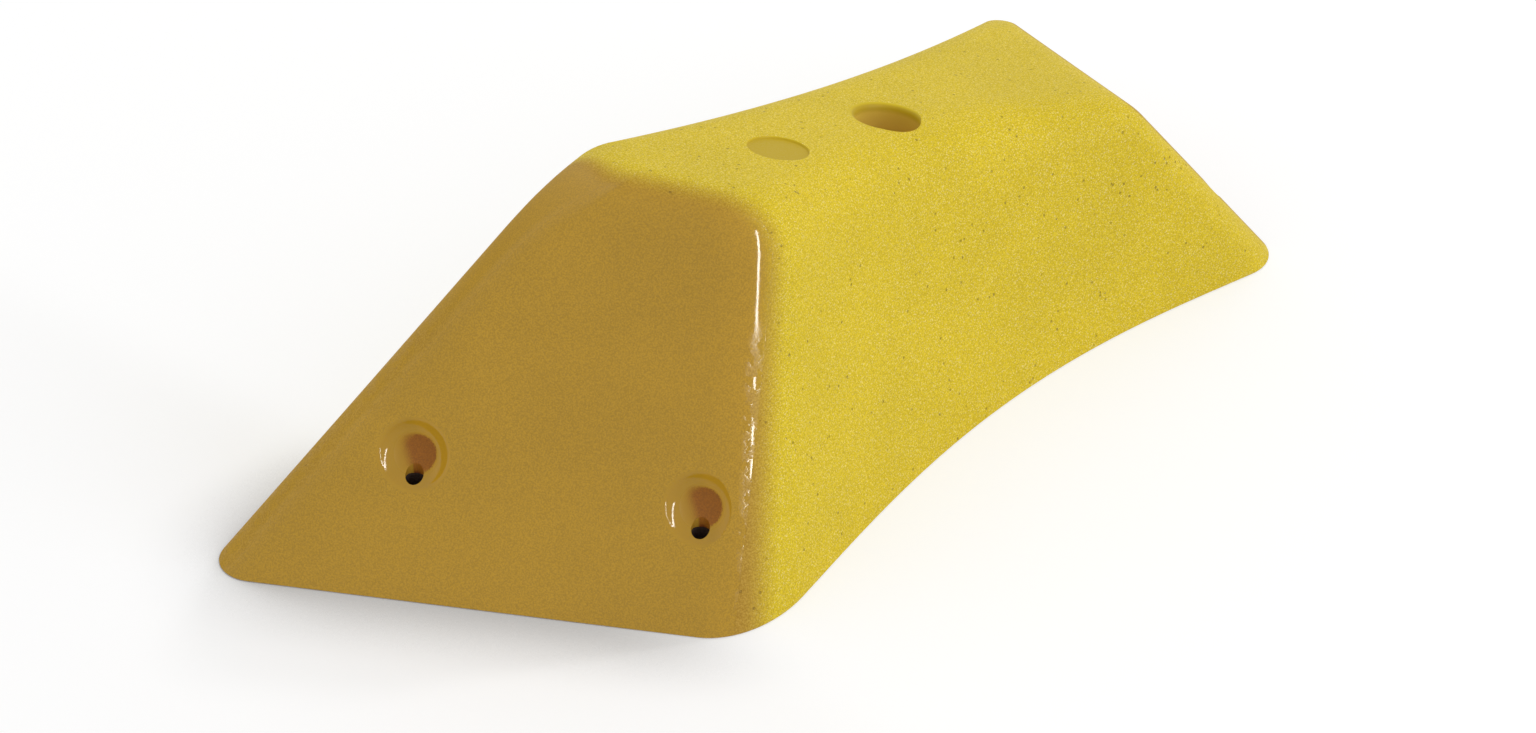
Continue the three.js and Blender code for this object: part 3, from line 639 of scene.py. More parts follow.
def gelcoat_material(name, middle, finish, zone):
    """Pigmented polyester gelcoat as it leaves its mould. The outside is gritty, with a dry
    grain, painted pale glints and dark pores of painted shade, but for its polished end
    faces, which are glossy with a faint ripple and show a deeper, more orange yellow, partly
    their own colour and partly painted shade. The pockets are painted brown as shade,
    darkest towards the screw hole and on the walls that face away from the front lamp, and
    the bolt well is smooth but matt, its walls painted paler deeper down as painted light."""
    material, tree, shader = new_material(name)
    place = object_place(tree)
    grain = fine_noise(tree, place, finish.grit, detail=1.5, rough=0.6)
    coarse = fine_noise(tree, place, 3.2 * finish.grit, detail=1.0, offset=(0.3, 0.1, 0.7))
    cloud = fine_noise(tree, place, 0.045, detail=2.0, offset=(0.9, 0.4, 0.2))
    ripple = fine_noise(tree, place, 0.006, detail=1.0, offset=(0.1, 0.8, 0.5))
    cloudy = mixed(tree, shaped(tree, cloud, 0.35, 0.65), (0.97, 0.97, 0.96, 1),
                   (1.02, 1.02, 1.02, 1))
    faint = mixed(tree, shaped(tree, grain, 0.30, 0.70), (0.86, 0.86, 0.88, 1),
                  (1.14, 1.14, 1.12, 1))
    gloss_height = maths(tree, "ADD", maths(tree, "MULTIPLY", ripple, 0.02),
                         maths(tree, "MULTIPLY", grain, 0.0015))
    gloss_rough = shaped(tree, ripple, 0.3, 0.7, 0.06, 0.09)
    ends = [end_measures(tree, place, middle, *end) for end in (NEAR_END, FAR_END)]
    out = maths(tree, "MAXIMUM", ends[0][0], ends[1][0])
    if zone == "well":
        top = normalised(np.array([TOP_FALL_SHARE, 0, 1]))
        level = float(top[2]) * top_height(middle[0]) * MM
        rise = node(tree, "ShaderNodeVectorMath", {0: place, 1: tuple(top)},
                    operation="DOT_PRODUCT").outputs["Value"]
        depth = shaped(tree, maths(tree, "SUBTRACT", rise, level), -9 * MM, 0,
                       smooth=False)
        # Painted light: the well's walls are paler yellow deeper down, standing in for light
        # that reaches into the well. The darker band near the top gives the shallow round recess
        # its darker olive.
        colour = ramp(tree, depth, [(0.0, linear("#e6c558")), (0.55, linear("#dfbf4c")),
                                    (0.80, linear("#c0a204")),
                                    (0.92, linear("#bda004")),
                                    (1.0, tuple(finish.gritty_yellow))])
        height = maths(tree, "MULTIPLY", coarse, 0.04)
        rough = shaped(tree, grain, 0.3, 0.7, 0.52, 0.64)
    elif zone == "pocket":
        # Which way the dish's wall faces: 1 towards the outer side and down, -1 away from it,
        # towards the front lamp. The painted shade is thin on the wall that faces the lamp,
        # crisp on the other.
        facing = node(tree, "ShaderNodeSeparateXYZ",
                      {0: node(tree, "ShaderNodeNewGeometry").outputs["True Normal"]})
        turned = maths(tree, "MULTIPLY_ADD", facing.outputs[1], 0.745,
                       maths(tree, "MULTIPLY", facing.outputs[2], -0.318))
        turned = maths(tree, "MULTIPLY_ADD", maths(tree, "ABSOLUTE", facing.outputs[0]),
                       0.585, turned)
        front_lit_share = shaped(tree, turned, -0.08, -0.34, 0, 0.8)
        # Painted shade: brown that darkens to near black towards the screw hole, the deepest
        # part of the pocket.
        depth = shaped(tree, maths(tree, "MULTIPLY_ADD", cloud, 2 * MM, out), -9 * MM,
                       1 * MM, smooth=False)
        # Painted light: the lip on the walls facing away from the front lamp is a lighter
        # yellow, so it does not show their shade.
        lit = mixed(tree, shaped(tree, turned, 0.05, 0.35), tuple(finish.polished_yellow),
                    linear("#bd9124"))
        painted_shade = ramp(tree, depth, [(0.0, linear("#4c1606")), (0.20, linear("#74380a")),
                                   (0.27, linear("#92580a")), (1.0, linear("#92580a"))])
        painted_shade = mixed(tree, 1.0, painted_shade, faint, "MULTIPLY")
        soft = shaped(tree, turned, -0.15, 0.15, 0.11, 0.02)
        edge = maths(tree, "SUBTRACT", maths(tree, "MULTIPLY_ADD", grain, 0.06, depth), 0.56)
        spread = shaped(tree, maths(tree, "DIVIDE", edge, soft), -1.0, 1.0)
        colour = mixed(tree, spread, painted_shade, lit)
        colour = mixed(tree, front_lit_share, colour, lit)
        height = gloss_height
        rough = shaped(tree, out, -4.6 * MM, -3.6 * MM, 0.55, 0.08)
    else:
        cell = node(tree, "ShaderNodeTexVoronoi", {"Vector": place, "Scale": 1 / 0.0042},
                    feature="F1")
        pore_room = fine_noise(tree, place, 0.011, detail=0.0, offset=(0.5, 0.5, 0.1))
        pore = maths(tree, "MULTIPLY",
                     shaped(tree, cell.outputs["Distance"], 0.10, 0.17, 1, 0),
                     shaped(tree, pore_room, 0.5, 0.62))
        polished, deepened_and_shaded, rubbed = (maths(tree, "MAXIMUM", ends[0][i], ends[1][i])
                                      for i in (1, 2, 3))
        gloss_rough = blended(tree, rubbed, gloss_rough, 0.8)
        sandy = mixed(tree, shaped(tree, grain, 0.30, 0.70), (0.82, 0.78, 0.60, 1),
                      (1.11, 1.13, 1.20, 1))
        speck = mixed(tree, polished, sandy, faint)
        # Partly painted shade: the end faces and their rounded edges take the darker, more
        # orange polished yellow.
        colour = mixed(tree, deepened_and_shaded, tuple(finish.gritty_yellow),
                       tuple(finish.polished_yellow))
        colour = mixed(tree, 1.0, colour, speck, "MULTIPLY")
        # Painted highlight: pale glints sprinkled over the gritty gelcoat, left off the darker
        # end faces.
        glint_noise = fine_noise(tree, place, 0.8 * finish.grit, detail=0.0, offset=(0.6, 0.2, 0.9))
        painted_glints = maths(tree, "MULTIPLY", shaped(tree, glint_noise, 0.60, 0.74),
                     maths(tree, "SUBTRACT", 1.0, deepened_and_shaded))
        colour = mixed(tree, maths(tree, "MULTIPLY", painted_glints, 0.45), colour, linear("#f2e8a4"))
        # Painted shade: the pores are darkened where their pits are in shade, off the polished
        # faces.
        shown = maths(tree, "MULTIPLY", pore, maths(tree, "SUBTRACT", 1.0, polished))
        colour = mixed(tree, maths(tree, "MULTIPLY", shown, 0.5), colour, linear("#6d5418"))
        sand = maths(tree, "ADD", maths(tree, "MULTIPLY", grain, 0.14),
                     maths(tree, "MULTIPLY_ADD", coarse, 0.22, -0.06))
        sand = maths(tree, "SUBTRACT", sand, maths(tree, "MULTIPLY", pore, 0.25))
        height = blended(tree, polished, sand, gloss_height)
        rough = blended(tree, polished, shaped(tree, grain, 0.35, 0.75, 0.72, 0.5),
                        gloss_rough)
    colour = mixed(tree, 1.0, colour, cloudy, "MULTIPLY")
    surfaced(tree, shader, colour, rough, height)
    shader.inputs["Specular IOR Level"].default_value = finish.gelcoat_shine
    return material


def strands(tree, place, width, length, turn, offset):
    """Straight glass strands of one direction: noise drawn out along it."""
    turned = node(tree, "ShaderNodeMapping",
                  {0: place, 1: offset, 2: (0.3, 0.2, turn),
                   3: (1 / length, 1 / width, 1 / width)}).outputs[0]
    return node(tree, "ShaderNodeTexNoise",
                {"Vector": turned, "Scale": 1.0, "Detail": 0.0}).outputs[0]


def laminate_material(name, finish):
    """Hand-laid chopped-strand glass mat in polyester resin, seen from its rough side: a
    milky amber sheet crossed by pale bundles of strands, uneven and half glossy."""
    material, tree, shader = new_material(name)
    place = object_place(tree)
    layers = [shaped(tree, strands(tree, place, 0.0011, 0.022, turn, (0.3 * i, 0.2, 0.1)),
                     0.56, 0.70)
              for i, turn in enumerate((0.0, 0.7, 1.35, 2.1, 2.75))]
    web = layers[0]
    for layer in layers[1:]:
        web = maths(tree, "MAXIMUM", web, layer)
    blotch = fine_noise(tree, place, 0.03, detail=3.0)
    resin = mixed(tree, shaped(tree, blotch, 0.35, 0.7), tuple(finish.laminate),
                  linear("#b39a52"))
    colour = mixed(tree, maths(tree, "MULTIPLY", web, 0.55), resin, linear("#ddd3a4"))
    lump = fine_noise(tree, place, 0.007, detail=2.0, offset=(0.2, 0.6, 0.1))
    height = maths(tree, "ADD", maths(tree, "MULTIPLY", web, 0.12),
                   maths(tree, "MULTIPLY", lump, 0.5))
    surfaced(tree, shader, colour, shaped(tree, blotch, 0.3, 0.7, 0.28, 0.5), height)
    return material


def cut_laminate_material(name):
    """The sawn rim of the laminate: matt and dusty, gelcoat yellow outside and amber layers
    of glass inside."""
    material, tree, shader = new_material(name)
    place = object_place(tree)
    dust = fine_noise(tree, place, 0.0009, detail=3.0, rough=0.7)
    layer = fine_noise(tree, place, 0.004, detail=2.0, offset=(0.1, 0.3, 0.7))
    colour = mixed(tree, shaped(tree, dust, 0.35, 0.65), linear("#a8944e"), linear("#cfc08a"))
    colour = mixed(tree, maths(tree, "MULTIPLY", shaped(tree, layer, 0.45, 0.6), 0.35), colour,
                   linear("#8d7a38"))
    bump = node(tree, "ShaderNodeBump",
                {"Strength": 0.5, "Distance": 0.3 * MM, "Height": dust})
    tree.links.new(colour, shader.inputs["Base Color"])
    tree.links.new(bump.outputs[0], shader.inputs["Normal"])
    shader.inputs["Roughness"].default_value = 0.8
    return material


def plywood_material(name, finish):
    """Raw birch plywood. Faces show pale, close grain along the length with a few darker
    flecks, and edges show 1.4 mm plies, every second one end grain and browner."""
    material, tree, shader = new_material(name)
    place = object_place(tree)
    parts = node(tree, "ShaderNodeSeparateXYZ", {0: place})
    wander = fine_noise(tree, place, 0.05, detail=1.0)
    level = maths(tree, "ADD", maths(tree, "DIVIDE", parts.outputs[2], 1.4 * MM),
                  maths(tree, "MULTIPLY", wander, 0.25))
    band = maths(tree, "PINGPONG", level, 1.0)
    ply = shaped(tree, band, 0.44, 0.56)
    seam = shaped(tree, maths(tree, "ABSOLUTE", maths(tree, "SUBTRACT", band, 0.5)),
                  0.02, 0.10, 1, 0)
    along = node(tree, "ShaderNodeMapping",
                 {0: place, 3: (1 / 0.06, 1 / 0.0022, 1 / 0.0022)}).outputs[0]
    grain = node(tree, "ShaderNodeTexNoise",
                 {"Vector": along, "Scale": 1.0, "Detail": 4.0, "Roughness": 0.6,
                  "Distortion": 0.4}).outputs[0]
    vessel = node(tree, "ShaderNodeMapping",
                  {0: place, 3: (1 / 0.006, 1 / 0.0005, 1 / 0.0005)}).outputs[0]
    fleck = shaped(tree, node(tree, "ShaderNodeTexNoise",
                              {"Vector": vessel, "Scale": 1.0, "Detail": 1.0}).outputs[0],
                   0.60, 0.72)
    pores = fine_noise(tree, place, 0.0006, detail=2.0, rough=0.7)
    face = mixed(tree, shaped(tree, grain, 0.3, 0.7), linear("#c49d68"),
                 tuple(finish.plywood))
    face = mixed(tree, maths(tree, "MULTIPLY", fleck, 0.4), face, linear("#9a7443"))
    end_grain = mixed(tree, shaped(tree, pores, 0.35, 0.65), linear("#8c6536"),
                      linear("#b08a58"))
    edge = mixed(tree, ply, end_grain, face)
    edge = mixed(tree, maths(tree, "MULTIPLY", seam, 0.6), edge, linear("#5e4020"))
    facing = node(tree, "ShaderNodeSeparateXYZ",
                  {0: node(tree, "ShaderNodeNewGeometry").outputs["True Normal"]})
    flat = shaped(tree, maths(tree, "ABSOLUTE", facing.outputs[2]), 0.90, 0.97)
    colour = mixed(tree, flat, edge, face)
    upright = node(tree, "ShaderNodeCombineXYZ",
                   {0: parts.outputs[0], 1: parts.outputs[1]}).outputs[0]
    # Painted shade: the plywood goes near black round the screw holes' axes, inside their bores,
    # where the holes are in shade.
    for centre, *_ in pocket_places(frame_middle()):
        away = node(tree, "ShaderNodeVectorMath",
                    {0: upright, 1: (centre[0] * MM, centre[1] * MM, 0)},
                    operation="DISTANCE").outputs["Value"]
        colour = mixed(tree, shaped(tree, away, 3.5 * MM, 3.9 * MM, 1, 0), colour,
                       linear("#2c180c"))
    edge_height = maths(tree, "ADD", maths(tree, "MULTIPLY", pores, 0.12),
                        maths(tree, "MULTIPLY", seam, -0.15))
    face_height = maths(tree, "ADD", maths(tree, "MULTIPLY", grain, 0.06),
                        maths(tree, "MULTIPLY", fleck, -0.05))
    height = blended(tree, flat, edge_height, face_height)
    surfaced(tree, shader, colour, shaped(tree, grain, 0.3, 0.7, 0.62, 0.78), height)
    return material


def tape_material(name):
    """Woven glass tape wetted out with resin: a tight plain weave of pale rovings 2 mm apart
    under a glossy, slightly amber skin."""
    material, tree, shader = new_material(name)
    place = object_place(tree)
    parts = node(tree, "ShaderNodeSeparateXYZ", {0: place})
    pitch = 2.0 * MM
    run = maths(tree, "DIVIDE", maths(tree, "ADD", parts.outputs[0], parts.outputs[2]), pitch)
    cross = maths(tree, "DIVIDE", maths(tree, "SUBTRACT", parts.outputs[1], parts.outputs[2]),
                  pitch)
    threads = [maths(tree, "ABSOLUTE",
                     maths(tree, "SINE", maths(tree, "MULTIPLY", value, math.pi)))
               for value in (run, cross)]
    checks = [maths(tree, "FLOOR", value) for value in (run, cross)]
    over = maths(tree, "PINGPONG", maths(tree, "ADD", *checks), 1.0)
    weave = blended(tree, over, *threads)
    blotch = fine_noise(tree, place, 0.012, detail=3.0)
    colour = mixed(tree, weave, linear("#9c8c52"), linear("#d8d0ae"))
    colour = mixed(tree, maths(tree, "MULTIPLY", shaped(tree, blotch, 0.4, 0.7), 0.5), colour,
                   linear("#b7a566"))
    height = maths(tree, "ADD", maths(tree, "MULTIPLY", weave, 0.18),
                   maths(tree, "MULTIPLY", blotch, 0.4))
    surfaced(tree, shader, colour, shaped(tree, blotch, 0.3, 0.7, 0.22, 0.42), height)
    return material


def steel_material(name, light, dark, rough_low, rough_high):
    """Zinc-plated steel: a clean, slightly blotchy metal with fine turned marks."""
    material, tree, shader = new_material(name)
    place = object_place(tree)
    blotch = fine_noise(tree, place, 0.005, detail=3.0)
    mark = fine_noise(tree, place, 0.0004, detail=2.0, rough=0.7)
    colour = mixed(tree, shaped(tree, blotch, 0.35, 0.65), linear(dark), linear(light))
    surfaced(tree, shader, colour, shaped(tree, blotch, 0.3, 0.7, rough_low, rough_high),
             mark, strength=0.3, distance=0.05 * MM)
    shader.inputs["Metallic"].default_value = 1.0
    return material


# Operators

class VOLUME_OT_shell(bpy.types.Operator):
    """Makes the moulded shell with its bolt well, bare round recess and screw pockets"""
    bl_idname = "volume.shell"
    bl_label = "Moulded shell"

    def execute(self, context):
        shape, finish = context.scene.volume_shape, context.scene.volume_finish
        rows, middle = outside_rows()
        rows = fitted(rows)
        slots = [
            gelcoat_material("polyester_gelcoat", middle, finish, "outside"),
            laminate_material("chopped_strand_laminate", finish),
            cut_laminate_material("sawn_laminate_rim"),
            gelcoat_material("well_gelcoat", middle, finish, "well"),
            gelcoat_material("pocket_gelcoat", middle, finish, "pocket"),
        ]
        base = self.skin(rows, shape, slots)
        limit = self.limit(rows, slots)
        bosses = self.bosses(middle, shape, slots)
        wells = self.wells(middle, shape, slots)
        bores = self.bores(middle, shape, slots)
        for target, tool, operation in ((bosses, limit, "INTERSECT"), (base, bosses, "UNION"),
                                        (base, wells, "DIFFERENCE"),
                                        (base, bores, "DIFFERENCE")):
            cut = target.modifiers.new(operation.lower(), "BOOLEAN")
            cut.operation = operation
            cut.object = tool
            cut.solver = "MANIFOLD"
            cut.material_mode = "TRANSFER"
        shell = baked(base, "moulded_shell")
        discard(base, limit, bosses, wells, bores)
        if len(shell.data.polygons) < 10000:
            raise RuntimeError("the shell lost its faces in a cut")
        self.smoothed(shell)
        carried(shell, "gelcoat", "shell")
        return {"FINISHED"}

    def skin(self, rows, shape, slots):
        """The closed laminate: outside, inside and the sawn rim between them."""
        ease = shape.foot_ease / MM
        inner = inside_rows(rows, shape.wall / MM)
        slope = normalised(rows[1] - rows[0])
        inward = normalised((inner[0] - rows[0]) * [1, 1, 0])
        outer = [rows[0] + inward * ease]
        for i in (1, 2, 3):
            outer.append(bend(outer[0], rows[0], rows[0] + slope * ease, i / 3))
        outer += list(rows[1:])
        mesh = bmesh.new()
        outside, inside = ring_verts(mesh, outer), ring_verts(mesh, inner)
        for low, high in zip(outside, outside[1:]):
            band(mesh, low, high, OUTSIDE)
        for low, high in zip(inside, inside[1:]):
            band(mesh, high, low, LAMINATE)
        band(mesh, inside[0], outside[0], SAWN_RIM)
        start = SIDE_STEPS[0] // 2
        for loop in cap_ribs(outside[-1], start):
            mesh.faces.new(loop).material_index = OUTSIDE
        for loop in cap_ribs(inside[-1], start):
            mesh.faces.new(loop[::-1]).material_index = LAMINATE
        return mesh_object("skin", mesh, slots)

    def limit(self, rows, slots):
        """The solid that the bosses stay inside: the outside drawn in by half the wall."""
        mesh = bmesh.new()
        verts = ring_verts(mesh, inside_rows(rows, LIMIT_DEPTH))
        for low, high in zip(verts, verts[1:]):
            band(mesh, low, high, LAMINATE)
        start = SIDE_STEPS[0] // 2
        for loop in cap_ribs(verts[-1], start):
            mesh.faces.new(loop).material_index = LAMINATE
        for loop in cap_ribs(verts[0], start):
            mesh.faces.new(loop[::-1]).material_index = LAMINATE
        return mesh_object("limit", mesh, slots)

    def bosses(self, middle, shape, slots):
        """The backs of the bolt well and screw pockets, which stand out inside."""
        wall = shape.wall / MM
        mesh = bmesh.new()
        x, y, floor = self.bolt_axis(middle)
        radius = shape.well_radius / MM + wall
        foot = quarter((radius - 3, 0), (radius, 0), (radius, 3), 5)
        root = quarter((radius, -wall - 6), (radius, -wall), (radius + 6, -wall), 6)
        profile = [(r, floor - wall + h, False) for r, h in foot]
        profile += [(r, h, True) for r, h in root] + [(radius + 6, 3, True)]
        rings = sloped_rings(x, y, profile, WELL_SIDES, middle)
        ring_solid(mesh, rings, LAMINATE)
        for centre, outward, wide in pocket_places(middle):
            ball = wide * shape.pocket_curve / MM + wall
            rise = (wide * shape.pocket_curve - shape.pocket_depth) / MM
            profile = dish(ball, rise, math.acos(rise / ball), 16)
            profile.append((profile[-1][0], 3))
            rings = lathe_rings(centre, outward, profile[1:], POCKET_SIDES)
            ring_solid(mesh, rings, LAMINATE, foot=centre - outward * (ball - rise))
        return mesh_object("bosses", mesh, slots)

    def bolt_axis(self, middle):
        """The bolt well's place in the part's frame, and its floor's height."""
        return BOLT[0] - middle[0], BOLT[1] - middle[1], BOLT_FLOOR

    def wells(self, middle, shape, slots):
        """What the mould's plugs leave open: bolt well, round recess and screw pockets."""
        mesh = bmesh.new()
        x, y, floor = self.bolt_axis(middle)
        radius, lip, ease = shape.well_radius / MM, shape.well_lip / MM, 1.0
        foot = quarter((radius - ease, 0), (radius, 0), (radius, ease), 5)
        mouth = quarter((radius, -lip), (radius, 0), (radius + lip, 0.015), 8)
        profile = [(r, floor + h, False) for r, h in foot]
        profile += [(r, h, True) for r, h in mouth] + [(radius + lip, 6, True)]
        rings = sloped_rings(x, y, profile, WELL_SIDES, middle)
        ring_solid(mesh, rings, WELL)
        radius, depth = shape.badge_radius / MM, shape.badge_depth / MM
        badge = (BADGE[0] - middle[0], BADGE[1] - middle[1])
        centre = np.array([*badge, top_height(badge[0] + middle[0])])
        soft = 0.35 * depth
        profile = quarter((radius - 3 * soft, -depth), (radius - soft, -depth),
                          (radius - 0.5 * soft, -depth + soft), 4)
        profile += quarter((radius - 0.3 * soft, -soft), (radius, 0),
                           (radius + soft, 0.01), 4)
        profile.append((radius + soft, 4))
        rings = lathe_rings(centre, (TOP_FALL_SHARE, 0, 1), profile, WELL_SIDES)
        ring_solid(mesh, rings, WELL)
        depth = shape.pocket_depth / MM
        turn = math.asin(shape.pocket_rim / shape.pocket_curve)
        for centre, outward, wide in pocket_places(middle):
            ball, rim, lip = (wide * size / MM for size in (
                shape.pocket_curve, shape.pocket_rim, shape.pocket_lip))
            profile = dish(ball, ball - depth, turn, 18)
            drop = profile[-1][1]
            sharp = (rim - drop / math.tan(turn), 0)
            profile += quarter(profile[-1], sharp, (lip, 0.012), 12)[1:]
            profile.append((lip, 5))
            rings = lathe_rings(centre, outward, profile[1:], POCKET_SIDES)
            ring_solid(mesh, rings, POCKET, foot=centre - outward * depth)
        return mesh_object("wells", mesh, slots)

    def bores(self, middle, shape, slots):
        """The bolt's bore and the wall screws' holes."""
        mesh = bmesh.new()
        x, y, floor = self.bolt_axis(middle)
        wall = shape.wall / MM
        rings = sloped_rings(x, y, [(shape.bore_radius / MM, floor - 2 * wall, False),
                                    (shape.bore_radius / MM, floor + wall, False)],
                             POCKET_SIDES, middle)
        ring_solid(mesh, rings, WELL)
        for centre, *_ in pocket_places(middle):
            low = centre[2] - shape.pocket_depth / MM - 3 * wall
            rings = sloped_rings(centre[0], centre[1],
                                 [(shape.hole_radius / MM, low, False),
                                  (shape.hole_radius / MM, centre[2], False)],
                                 POCKET_SIDES, middle)
            ring_solid(mesh, rings, POCKET)
        return mesh_object("bores", mesh, slots)

    def smoothed(self, shell):
        """Smooth faces, with the sharp edges kept and the flats' normals true."""
        shell.data.shade_smooth()
        shell.data.set_sharp_from_angle(angle=math.radians(32))
        weighted = shell.modifiers.new("flats", "WEIGHTED_NORMAL")
        weighted.keep_sharp = True
        graph = bpy.context.evaluated_depsgraph_get()
        data = bpy.data.meshes.new_from_object(shell.evaluated_get(graph), depsgraph=graph)
        shell.modifiers.clear()
        old = shell.data
        shell.data = data
        bpy.data.meshes.remove(old)
        data.name = shell.name


class VOLUME_OT_washer(bpy.types.Operator):
    """Makes the turned steel washer on the floor of the bolt well"""
    bl_idname = "volume.washer"
    bl_label = "Bolt washer"

    def execute(self, context):
        shape = context.scene.volume_shape
        low, high = (np.array(corner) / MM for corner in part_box("bolt_washer"))
        outer, bore = (high[0] - low[0]) / 2, shape.bore_radius / MM
        ease = 0.4
        section = [(bore, low[2] + ease), (bore + ease, low[2]), (outer - ease, low[2]),
                   (outer, low[2] + ease), (outer, high[2] - ease), (outer - ease, high[2]),
                   (bore + ease, high[2]), (bore, high[2] - ease)]
        mesh = bmesh.new()
        sides = 96
        centre = (low[:2] + high[:2]) / 2
        rings = ring_verts(mesh, [[(*p, height) for p in circle(radius, sides) + centre]
                                  for radius, height in section])
        for ring, after in zip(rings, rings[1:] + rings[:1]):
            band(mesh, ring, after)
        washer = mesh_object("turned_washer", mesh, [
            steel_material("zinc_plated_steel", "#b4b6b8", "#8f9194", 0.22, 0.36)])
        washer.data.shade_smooth()
        washer.data.set_sharp_from_angle(angle=math.radians(30))
        carried(washer, "washer_steel", "bolt_washer")
        return {"FINISHED"}


